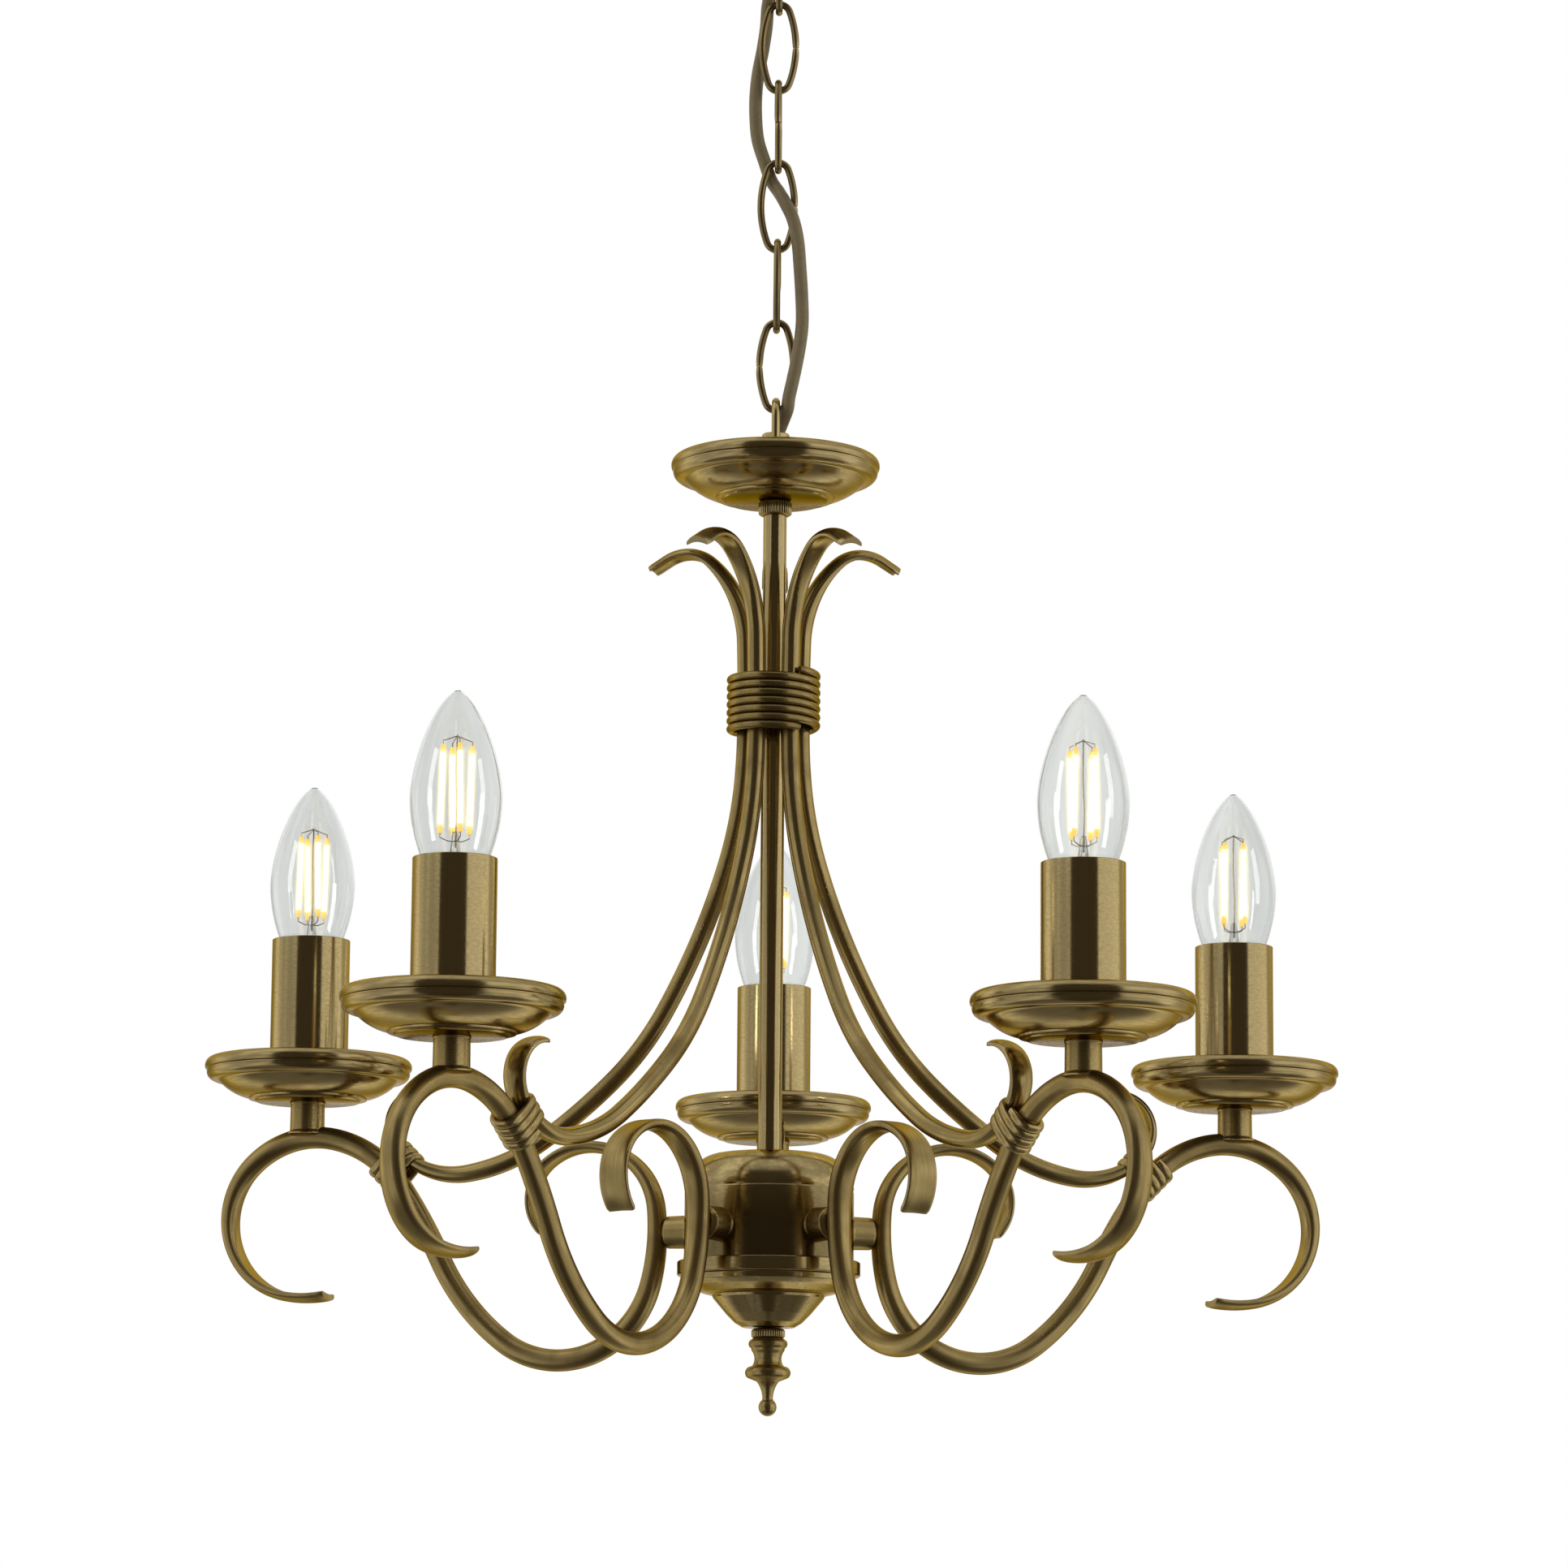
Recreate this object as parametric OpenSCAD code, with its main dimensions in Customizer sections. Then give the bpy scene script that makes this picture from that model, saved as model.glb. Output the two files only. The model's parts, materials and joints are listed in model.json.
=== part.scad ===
// Five-light hanging chandelier: scrolled arms, rod stays, wire bindings, chain and ceiling fitting.
// Units are millimetres. +Z is up. The origin is the centre of the ceiling fitting's mounting face.
// The viewer stands on the -Y side; one arm points straight back along +Y.

/* [Suspension] */
// diameter of the ceiling cup
cup_d = 100; // [90:1:120]
// distance between the two ceiling screw holes
screw_spacing = 50; // [44:1:54]
// outside width of a chain link
link_w = 16.8; // [16:0.2:18]
// diameter of the cable woven through the chain
flex_d = 5.4; // [4.6:0.1:5.4]

/* [Stem] */
// diameter of the centre column
column_d = 9.5; // [9:0.1:10.5]
// diameter of the top bowl and the drip pans
pan_d = 85.4; // [78:0.2:90]
// diameter of the hub body
body_d = 68; // [64:1:70]

/* [Arms] */
// distance of each lamp from the centre
lamp_r = 201; // [196:1:206]
// diameter of the scrolled arm tube
arm_d = 9; // [8:0.2:10]
// width of a forged leaf tip on an arm
arm_leaf_w = 13.4; // [11:0.2:15]
// diameter of a stay rod
stay_d = 7.5; // [6.5:0.1:7.5]
// width of a forged leaf tip on a stay
stay_leaf_w = 11; // [9:0.2:12]

/* [Lamps] */
// outside diameter of a candle sleeve
sleeve_d = 32.2; // [31:0.2:33]
// length of a candle sleeve
sleeve_l = 66.6; // [60:0.2:70]
// largest diameter of a bulb
bulb_d = 35; // [33:0.5:36]
// height of a bulb's glass above its screw cap
glass_h = 74; // [72:0.5:80]

/* [Hidden] */
$fn = 64;

// direction of arm k seen from above, 1 front left, then round to 5 front right
function arm_az(k) = -90 - 36 - 72 * (k - 1);
// smooth step from 0 to 1
function ease(t) = let (u = min(1, max(0, t))) u * u * (3 - 2 * u);
function mix(a, b, t) = a + (b - a) * t;
// points of an arc in a profile: centre, radius, first and last angle, steps
function arc(c, r, a, b, n) = [for (i = [0:n]) c + r * [cos(a + (b - a) * i / n), sin(a + (b - a) * i / n)]];

// heights
cup_h = 23;
wire = 2.9;
link_l = 40;
link_end_r = 4.5;
play = 0.3;
hook_wire = 4;
hook_r = 7.5;
hook_z = -33.2;
link_top = -35.5;
link_pitch = link_l - 2 * wire - play;
shackle_wire = 3.4;
shackle_r = 7.6;
shackle_top = link_top - 5 * link_pitch - link_l + wire + play + shackle_wire;
pivot_z = -258.5;
stub_d = 11.2;
stub_top = -253.5;
bowl_top = -263.7;
pan_h = 18;
sheet = 0.9;
coil_top = -352.3;
coil_wire = 3.35;
coil_turns = 7;
coil_r = 17.425;
bundle_r = coil_r - coil_wire / 2 - stay_d / 2 - 0.1;
body_top = -549.5;
body_bottom = -592.5;
boss_z = -580;
cover_rim = 73.4;
nut_z = -619.3;
finial_z = -623.3;
pan_top = -505;
floor_z = pan_top - pan_h + sheet;
sleeve_wall = 0.9;
cap_base = floor_z + 33;
cap_top = cap_base + 24;
cap_d = 14;

// bend tables: arc length and turn of each stretch, walked in the arm's own plane
arm_start = [190, -603, -10];
arm_bends = [[19.4, 22], [34.2, 62], [35.8, 64], [37.5, 54.5], [36.6, 42.5], [35.6, 8.8],
             [43.8, -26.7], [79.5, -113], [30, -20.3], [26.8, -52.4], [34.3, -69.9], [32.3, -95.8]];
stay_start = [53, -307.5, 150];
stay_bends = [[7.5, 0], [20.7, 73], [38.1, 45.3], [39.3, 2.4], [18.3, 4.5], [34.5, 12.1],
              [65.4, 12.9], [34.2, 16.6], [39.4, 9.7], [34.5, 25.5], [32.8, 53.7], [35, 137.3]];

// state after distance share t of a bend, from state [radius, height, heading]
function step(p, b, t) =
    let (q = b[1] * t / 2, s = b[0] * t, c = abs(q) < 0.01 ? s : s * sin(q) / (q * PI / 180))
    [p[0] + c * cos(p[2] + q), p[1] + c * sin(p[2] + q), p[2] + 2 * q];
// walk every bend in steps of at most "gap" mm and "turn" degrees; each point is [radius, height, heading]
function walk(p, bends, gap, turn, i = 0) =
    i == len(bends) ? [p] :
    let (n = ceil(max(bends[i][0] / gap, abs(bends[i][1]) / turn)))
    concat([for (j = [0:n - 1]) concat(step(p, bends[i], j / n), bends[i][0] / n)],
           walk(step(p, bends[i], 1), bends, gap, turn, i + 1));
// length walked before each point
function walked(p, i = 0, s = 0) = i == len(p) - 1 ? [s] : concat([s], walked(p, i + 1, s + p[i][3]));

// skin over rings of equal point counts, closed at both ends
module skin(rings) {
    m = len(rings[0]);
    n = len(rings);
    points = [for (g = rings) for (p = g) p];
    sides = [for (i = [0:n - 2]) for (j = [0:m - 1]) let (k = (j + 1) % m)
             each [[i * m + j, i * m + k, (i + 1) * m + k], [i * m + j, (i + 1) * m + k, (i + 1) * m + j]]];
    polyhedron(points = points, faces = concat([[for (j = [m - 1:-1:0]) j]], sides,
               [[for (j = [0:m - 1]) (n - 1) * m + j]]), convexity = 8);
}

// rod bent in its plane, round in the middle and flattened into a leaf at both ends
module forged(start, bends, gap, m, d, leaf_w, leaf_t, flat_a, flat_b) {
    p = walk(start, bends, gap, 13);
    at = walked(p);
    n = len(p) - 1;
    length = at[n];
    skin([for (i = [0:n])
          let (s = at[i],
               tip = min(s, length - s),
               u = min(ease(s / flat_a), ease((length - s) / flat_b)),
               round_end = tip > 4 ? 1 : 0.55 + 0.45 * ease(tip / 4),
               w = mix(leaf_w / 2, d / 2, u) * round_end,
               t = mix(leaf_t / 2, d / 2, u))
          [for (j = [0:m - 1]) let (a = -360 * j / m)
           [p[i][0] - t * cos(a) * sin(p[i][2]), w * sin(a), p[i][1] + t * cos(a) * cos(p[i][2])]]]);
}

// round tube along part of a free route, from point a to point b, each ring square to the route
module cable(route, a, b, d, m) {
    n = len(route) - 1;
    skin([for (i = [a:b])
          let (dir = route[min(n, i + 1)] - route[max(0, i - 1)],
               f = dir / norm(dir),
               side = cross([0, 1, 0], f),
               u = side / norm(side),
               v = cross(f, u))
          [for (j = [0:m - 1]) route[i] + d / 2 * (u * cos(360 * j / m) + v * sin(360 * j / m))]]);
}

// route of the woven cable, from inside the cup to inside the column
flex_points = [[13.5, 0, -12], [13.5, 0, -24], [13, 0, -33], [10.6, 0, -40.5], [6.2, 0, -47],
               [1.2, 0.6, -54], [-2.8, 2.5, -62], [-4.8, 4.2, -70], [-5.4, 4.9, -79],
               [-6.8, 5.2, -89], [-8.6, 5, -99], [-9.5, 4.6, -109], [-9.4, 4.4, -119],
               [-8.4, 4.6, -128], [-5.6, 4.8, -137], [-2.8, 4.4, -145], [0.6, 1.4, -151],
               [3.4, -2.8, -157], [6.4, -4.7, -164], [8.4, -4.4, -173], [9.4, -3.4, -184],
               [10.2, -3.4, -196], [10.5, -4, -207], [9.7, -4.8, -216], [8.2, -4.9, -225],
               [6.8, -4.9, -232], [5.3, -4.5, -239], [4.6, -3.8, -244], [2.4, -1.4, -249.5],
               [0.5, -0.2, -254.5], [0.1, 0, -260], [0, 0, -268], [0, 0, -285]];
// smooth curve through four neighbouring route points
function spline(a, b, c, d, t) =
    0.5 * (2 * b + (c - a) * t + (2 * a - 5 * b + 4 * c - d) * t * t + (3 * b - a - 3 * c + d) * t * t * t);
flex_n = len(flex_points) - 1;
flex_route = concat([for (i = [0:flex_n - 1]) for (t = [0, 0.5])
                     spline(flex_points[max(0, i - 1)], flex_points[i], flex_points[i + 1],
                            flex_points[min(flex_n, i + 2)], t)], [flex_points[flex_n]]);
// first and last route point of each length of cable, one length across each pivot of the chain
flex_cuts = [0, 8, 16, 23, 31, 39, 46, 56, 64];

module ceiling_bracket() {
    color("silver") difference() {
        translate([-(screw_spacing + 20) / 2, -9, -2]) cube([screw_spacing + 20, 18, 2]);
        for (s = [-1, 1]) translate([s * screw_spacing / 2, 0, -3]) cylinder(d = 5.2, h = 4);
        translate([0, 0, -3]) cylinder(d = 5, h = 4);
    }
    color("silver") for (s = [-1, 1]) difference() {
        translate([s > 0 ? cup_d / 2 - 4.8 : -cup_d / 2 + 1.8, -6, -12]) cube([3, 12, 12]);
        translate([s * (cup_d / 2 - 6), 0, -7]) rotate([0, s * 90, 0]) cylinder(d = 3, h = 8);
    }
    color("silver") for (s = [-1, 1])
        translate([s > 0 ? screw_spacing / 2 + 9 : -cup_d / 2 + 1.8, -6, -2])
            cube([cup_d / 2 - screw_spacing / 2 - 10.8, 12, 2]);
}

module ceiling_cup() {
    r = cup_d / 2;
    color("darkgoldenrod") difference() {
        rotate_extrude() polygon(concat(
            [[r, -0.5], [r, -13]], arc([r - 9, -13], 9, -15, -75, 4), [[r - 14, -cup_h], [0, -cup_h],
             [0, -cup_h + 1], [r - 14.5, -cup_h + 1]],
            arc([r - 9, -13], 8, -75, -15, 4), [[r - 1, -13], [r - 1, -0.5]]));
        translate([0, 0, -cup_h - 1]) cylinder(d = 5.4, h = 4);
        translate([13.5, 0, -cup_h - 1]) cylinder(d = 8, h = 4);
        for (s = [-1, 1]) translate([s * (r - 3), 0, -7]) rotate([0, s * 90, 0]) cylinder(d = 3.4, h = 5);
    }
}

module cup_screws() {
    color("darkgoldenrod") for (s = [-1, 1])
        translate([s * (cup_d / 2 - 5.5), 0, -7]) rotate([0, s * 90, 0]) {
            cylinder(d = 3, h = 5.5);
            translate([0, 0, 5.5]) cylinder(d = 6, h = 1.2);
            translate([0, 0, 6.7]) cylinder(d1 = 6, d2 = 4, h = 1.2);
        }
}

module ceiling_hook() {
    color("darkgoldenrod") {
        translate([0, 0, hook_z + hook_r + 1.2]) cylinder(d = 5, h = -hook_z - hook_r - 1.2 - 0.2);
        translate([0, 0, hook_z]) rotate([90, 0, 0]) rotate([0, 0, 68])
            rotate_extrude(angle = 336) translate([hook_r, 0]) circle(d = hook_wire);
    }
    color("silver") translate([0, 0, -6.5]) cylinder(d = 9, h = 4.5, $fn = 6);
}

module cord_grip() {
    color("dimgray") translate([13.5, 0, 0]) difference() {
        union() {
            translate([0, 0, -cup_h - 3]) cylinder(d = 12, h = 3);
            translate([0, 0, -cup_h - 0.1]) cylinder(d = 7.9, h = 6);
        }
        translate([0, 0, -cup_h - 4]) cylinder(d = flex_d + 0.1, h = 12);
    }
}

// oval wire link walked round from its split; it hangs from its top in the XZ plane, or turned about Z
module link(top, turn) {
    a = link_l / 2 - wire / 2;
    b = link_w / 2 - wire / 2;
    big = (pow(a - link_end_r, 2) + b * b - link_end_r * link_end_r) / (2 * (b - link_end_r));
    half = asin((a - link_end_r) / (big - link_end_r));
    side = [big * half * PI / 180, half];
    bow = [link_end_r * (180 - 2 * half) * PI / 180, 180 - 2 * half];
    p = walk([b, 0, 90], [side, bow, 2 * side, bow, side * (1 - 0.7 / side[0])], 8, 19);
    color("darkgoldenrod") translate([0, 0, top - link_l / 2]) rotate([0, 0, turn])
        skin([for (q = p) [for (j = [0:7]) let (c = wire / 2 * cos(45 * j))
              [q[0] + c * sin(q[2]), wire / 2 * sin(45 * j), q[1] - c * cos(q[2])]]]);
}
module link_0() link(link_top, 90);
module link_1() link(link_top - link_pitch, 0);
module link_2() link(link_top - 2 * link_pitch, -90);
module link_3() link(link_top - 3 * link_pitch, 0);
module link_4() link(link_top - 4 * link_pitch, 90);
module link_5() link(link_top - 5 * link_pitch, 180);

// bent wire bow whose two in-turned ends sit in the cross hole of the top stub
module shackle() {
    arch = shackle_top - shackle_wire / 2 - shackle_r;
    turn = 2.2;
    color("darkgoldenrod") {
        translate([0, 0, arch]) rotate([90, 0, 90])
            rotate_extrude(angle = 180) translate([shackle_r, 0]) circle(d = shackle_wire);
        for (s = [-1, 1]) {
            translate([0, s * shackle_r, pivot_z + turn])
                cylinder(d = shackle_wire, h = arch - pivot_z - turn);
            translate([0, s * (shackle_r - turn), pivot_z + turn]) rotate([90, 0, s > 0 ? 90 : -90])
                rotate([0, 0, -90]) rotate_extrude(angle = 90) translate([turn, 0]) circle(d = shackle_wire);
            translate([0, s * (shackle_r - turn), pivot_z]) rotate([s * 90, 0, 0])
                cylinder(d = shackle_wire, h = 1.9);
        }
    }
}

module flex(k) color("darkolivegreen") cable(flex_route, flex_cuts[k], flex_cuts[k + 1], flex_d, 8);

module top_stub() {
    foot = bowl_top - pan_h + sheet;
    color("darkgoldenrod") difference() {
        union() {
            translate([0, 0, foot]) cylinder(d = stub_d, h = stub_top - 1 - foot);
            translate([0, 0, stub_top - 1]) cylinder(d1 = stub_d, d2 = stub_d - 2, h = 1);
        }
        translate([0, 0, bowl_top - pan_h]) cylinder(d = column_d, h = 16.1);
        translate([0, 0, bowl_top - 3]) cylinder(d = 7.8, h = 20);
        rotate([90, 0, 0]) translate([0, pivot_z, -10]) cylinder(d = shackle_wire + 0.16, h = 20);
    }
}

// stepped dish pressed from sheet: two rolled bands, a bowl and two shallow rings
module pan(r, top, hole) {
    color("darkgoldenrod") translate([0, 0, top]) rotate_extrude() polygon(concat(
        arc([r - 3.4, -3.3], 3.4, 78, -20, 5), [[r - 1, -5]],
        arc([r - 4.2, -5.9], 3.4, 10, -50, 4), [[r - 3.1, -9], [r - 5.3, -9.1]],
        arc([r - 22.2, 5.3], 22, -41.8, -79.7, 6),
        [[r - 18.5, -17.1], [r - 20.9, -17.4], [r - 21.2, -pan_h], [hole, -pan_h], [hole, sheet - pan_h],
         [r - 21.4, sheet - pan_h], [r - 20.6, -16.5]],
        arc([r - 22.2, 5.3], 22 - sheet, -79.7, -43, 6), [[r - 4.4, -8.2], [r - 3, -7.6], [r - 2.1, -5.6]],
        arc([r - 3.4, -3.3], 3.4 - sheet, -20, 78, 5)));
}
module top_bowl() pan(pan_d / 2, bowl_top, column_d / 2 + 0.05);

// round nut with a straight-knurled edge
module knurled(d, top, h, bore) {
    color("darkgoldenrod") difference() {
        union() {
            translate([0, 0, top - h]) cylinder(d = d, h = h);
            translate([0, 0, top - h - 0.7]) cylinder(d1 = d - 1.4, d2 = d, h = 0.7);
        }
        translate([0, 0, top - h - 2]) cylinder(d = bore, h = h + 4);
        for (i = [0:35]) rotate([0, 0, i * 10]) translate([d / 2 - 0.3, -0.25, top - h + 0.5])
            cube([1, 0.5, h - 1]);
    }
}
module upper_nut() knurled(13.6, bowl_top - pan_h, 5.4, column_d);

module column() {
    color("darkgoldenrod") difference() {
        translate([0, 0, body_top - 6]) cylinder(d = column_d, h = bowl_top - 2 - body_top + 6);
        translate([0, 0, body_top - 7]) cylinder(d = column_d - 2, h = bowl_top - body_top + 10);
    }
}

module binding_collar() {
    color("goldenrod") translate([0, 0, coil_top - 22]) difference() {
        cylinder(r = bundle_r - stay_d / 2 - 0.25, h = 18);
        translate([0, 0, -1]) cylinder(d = column_d, h = 20);
    }
}

// close-wound wire around the five stays
module binding_coil() {
    steps = 24;
    color("darkgoldenrod") skin([for (i = [0:coil_turns * steps])
        let (a = -53 + 360 * i / steps, z = coil_top - coil_wire / 2 - (coil_wire + 0.03) * i / steps)
        [for (j = [0:7]) let (b = 45 * j)
         [(coil_r + coil_wire / 2 * cos(b)) * cos(a), (coil_r + coil_wire / 2 * cos(b)) * sin(a),
          z + coil_wire / 2 * sin(b)]]]);
}

module body_cup() {
    r = body_d / 2;
    color("darkgoldenrod") rotate_extrude() polygon(concat(
        [[column_d / 2, body_top], [r - 17, body_top]], arc([r - 15, body_top - 15], 15, 90, 4, 7),
        [[r, body_top - 15], [r, body_bottom], [r - 1.2, body_bottom], [r - 1.2, body_top - 15]],
        arc([r - 15, body_top - 15], 13.8, 4, 90, 7),
        [[r - 17, body_top - 1.2], [column_d / 2, body_top - 1.2]]));
}

module body_nut() {
    color("silver") difference() {
        translate([0, 0, body_top - 6]) cylinder(d = 17, h = 4.8, $fn = 6);
        translate([0, 0, body_top - 7]) cylinder(d = column_d, h = 8);
    }
}

module centre_rod() {
    color("silver") translate([0, 0, nut_z - 7]) cylinder(d = 5.8, h = body_top - nut_z + 17);
    color("silver") difference() {
        translate([0, 0, body_top - 4]) cylinder(d = column_d - 2.1, h = 8);
        translate([0, 0, body_top - 5]) cylinder(d = 5, h = 10);
    }
}

module bottom_cover() {
    r = cover_rim / 2;
    color("darkgoldenrod") rotate_extrude() polygon([
        [r - 3, body_bottom - 0.3], [r - 0.6, body_bottom - 0.3],
        [r, body_bottom - 0.9], [r, body_bottom - 5.6], [r - 0.8, body_bottom - 6.4],
        [r - 2, body_bottom - 6.6], [r - 2.2, body_bottom - 8.6], [r - 5, body_bottom - 10.4],
        [r - 10, body_bottom - 12.6], [22.6, body_bottom - 13.6], [22.2, body_bottom - 14.8],
        [16.8, body_bottom - 21.2], [13.6, body_bottom - 24.4],
        [10.6, body_bottom - 26.3], [3.2, body_bottom - 26.5],
        [3.2, body_bottom - 25.3], [10.2, body_bottom - 25.1], [12.8, body_bottom - 23.4],
        [16, body_bottom - 20.2], [21.2, body_bottom - 14.2], [21.8, body_bottom - 12.6],
        [r - 10.5, body_bottom - 11.4], [r - 5.6, body_bottom - 9.2], [r - 3.4, body_bottom - 7.8],
        [r - 3.2, body_bottom - 5.4]]);
}
module lower_nut() knurled(13.5, nut_z, 3.3, 6);

module finial() {
    color("darkgoldenrod") difference() {
        translate([0, 0, finial_z]) rotate_extrude() polygon(concat(
            [[0, 0], [6.6, 0]], arc([5.8, -2.1], 2, 66, -60, 4),
            arc([10.4, -8], 5, 140, 215, 5), arc([6.5, -13.6], 2.6, 60, -50, 5),
            arc([13.6, -24], 11.5, 143, 179, 5), arc([0, -27.2], 3.6, 50, -90, 7)));
        translate([0, 0, finial_z - 4]) cylinder(d = 6, h = 6);
    }
}

// short tubes that carry the arms on the body
module bosses() {
    color("darkgoldenrod") for (k = [1:5]) rotate([0, 0, arm_az(k)]) translate([body_d / 2 - 0.6, 0, boss_z])
        rotate([0, 90, 0]) cylinder(d = 13, h = 10.6);
}

// short tubes between the top of each arm and its drip pan
module stems() {
    color("darkgoldenrod") for (k = [1:5]) rotate([0, 0, arm_az(k)]) translate([lamp_r, 0, 0]) difference() {
        translate([0, 0, pan_top - pan_h - 13]) cylinder(d = 14, h = 13);
        translate([0, 0, pan_top - pan_h - 6]) cylinder(d = 10, h = 8);
    }
}

module nipples() {
    color("silver") for (k = [1:5]) rotate([0, 0, arm_az(k)]) translate([lamp_r, 0, 0]) {
        translate([0, 0, pan_top - pan_h - 6]) cylinder(d = 9.8, h = 14);
    }
}

module lampholders() {
    color("ivory") for (k = [1:5]) rotate([0, 0, arm_az(k)]) translate([lamp_r, 0, floor_z]) difference() {
        union() {
            cylinder(d = 18, h = 12);
            translate([0, 0, 12]) cylinder(d1 = 18, d2 = 26, h = 6);
            translate([0, 0, 18]) cylinder(d = 26, h = 36);
        }
        translate([0, 0, -1]) cylinder(d = 9.9, h = 8.1);
        translate([0, 0, 31]) cylinder(d = cap_d + 0.6, h = 30);
    }
}

module pans() {
    for (k = [1:5]) rotate([0, 0, arm_az(k)]) translate([lamp_r, 0, 0]) pan(pan_d / 2, pan_top, 4.9);
}

module sleeves() {
    color("darkgoldenrod") for (k = [1:5])
        rotate([0, 0, arm_az(k)]) translate([lamp_r, 0, floor_z]) difference() {
            cylinder(d = sleeve_d, h = sleeve_l);
            translate([0, 0, -1]) cylinder(d = sleeve_d - 2 * sleeve_wall, h = sleeve_l + 2);
        }
}

// three and a half turns of wire binding each stay to its arm, wound on an oval about a slanted axis
module wraps() {
    steps = 18;
    color("darkgoldenrod") for (k = [1:5]) rotate([0, 0, arm_az(k)])
        translate([lamp_r - 40.5, 0, -550.7]) rotate([0, -45, 0])
        skin([for (i = [0:3.5 * steps])
              let (a = 90 + 360 * i / steps, x = -6.2 + 3.55 * i / steps,
                   c = cos(a), s = sin(a), e = 1 / pow(pow(abs(c), 2.6) + pow(abs(s), 2.6), 1 / 2.6))
              [for (j = [0:7]) let (b = 45 * j, g = 1.2 * cos(b))
               [x + 1.75 * sin(b), (6.2 + g) * s * e, (9.2 + g) * c * e]]]);
}

module arm(k) color("darkgoldenrod") rotate([0, 0, arm_az(k)]) translate([lamp_r - 201, 0, 0])
    forged(arm_start, arm_bends, 12, 10, arm_d, arm_leaf_w, 2.6, 105, 150);

module stays() color("darkgoldenrod") for (k = [1:5]) rotate([0, 0, arm_az(k)])
    translate([bundle_r - 11.9, 0, 0])
        forged(stay_start, stay_bends, 12, 8, stay_d, stay_leaf_w, 2.4, 60, 80);

module bulb_cap(k) color("gainsboro") rotate([0, 0, arm_az(k)]) translate([lamp_r, 0, 0]) {
    translate([0, 0, cap_base + 3]) cylinder(d = cap_d - 1, h = cap_top - cap_base - 3);
    for (i = [0:4]) translate([0, 0, cap_base + 5 + 3 * i]) {
        cylinder(d1 = cap_d - 1, d2 = cap_d, h = 0.75);
        translate([0, 0, 0.75]) cylinder(d1 = cap_d, d2 = cap_d - 1, h = 0.75);
    }
    translate([0, 0, cap_base]) cylinder(d = 5, h = 1);
    translate([0, 0, cap_base + 1]) cylinder(d1 = 8, d2 = cap_d - 1, h = 2);
}

// candle-shaped glass: neck, widest part and blunt tip
function glass_r(t) = bulb_d / 2 * (t < 0.446 ?
    0.41 + 0.59 * pow(sin(90 * t / 0.446), 0.7) : pow(max(0, 1 - pow((t - 0.446) / 0.554, 1.6)), 0.66));
module bulb_glass(k) color("lightcyan") rotate([0, 0, arm_az(k)]) translate([lamp_r, 0, cap_top]) {
    n = 22;
    rotate_extrude() polygon(concat(
        [for (i = [0:n]) [max(0, glass_r(i / n)), glass_h * i / n]],
        [for (i = [n:-1:0]) [max(0, glass_r(i / n) - 0.8), glass_h * i / n - (i == n ? 0.8 : 0)]]));
}

// glass mount, four light filaments and their support wires
module filament(k) rotate([0, 0, arm_az(k)]) translate([lamp_r, 0, cap_top]) {
    color("lightcyan") translate([0, 0, 0.2]) cylinder(d1 = 9, d2 = 3, h = 14);
    color("silver") translate([0, 0, 14]) cylinder(d = 0.8, h = 40);
    for (i = [0:3]) rotate([0, 0, 45 + 90 * i]) {
        color("gold") translate([5.8, 0, 19.5]) cylinder(d = 1.3, h = 33);
        color("silver") for (z = [19, 52.5]) translate([0, -0.3, z]) cube([6.4, 0.6, 0.6]);
    }
}

ceiling_bracket();
ceiling_cup();
cup_screws();
ceiling_hook();
cord_grip();
link_0();
link_1();
link_2();
link_3();
link_4();
link_5();
shackle();
flex(0);  // flex_0
flex(1);  // flex_1
flex(2);  // flex_2
flex(3);  // flex_3
flex(4);  // flex_4
flex(5);  // flex_5
flex(6);  // flex_6
flex(7);  // flex_7
top_stub();
top_bowl();
upper_nut();
column();
binding_collar();
binding_coil();
body_cup();
body_nut();
centre_rod();
bottom_cover();
lower_nut();
finial();
bosses();
stems();
nipples();
lampholders();
wraps();
pans();
sleeves();
arm(1);  // arm_1
arm(2);  // arm_2
arm(3);  // arm_3
arm(4);  // arm_4
arm(5);  // arm_5
stays();
bulb_cap(1);  // bulb_cap_1
bulb_cap(2);  // bulb_cap_2
bulb_cap(3);  // bulb_cap_3
bulb_cap(4);  // bulb_cap_4
bulb_cap(5);  // bulb_cap_5
bulb_glass(1);  // bulb_glass_1
bulb_glass(2);  // bulb_glass_2
bulb_glass(3);  // bulb_glass_3
bulb_glass(4);  // bulb_glass_4
bulb_glass(5);  // bulb_glass_5
filament(1);  // filament_1
filament(2);  // filament_2
filament(3);  // filament_3
filament(4);  // filament_4
filament(5);  // filament_5
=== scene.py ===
"""Looks of a five-light hanging chandelier in antique brass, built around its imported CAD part.

Shapes are worked out in millimetres, in the part's own frame, and become metres when a mesh is made.
"""
import json
import math

import bpy
from mathutils import Matrix, Vector


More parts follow.
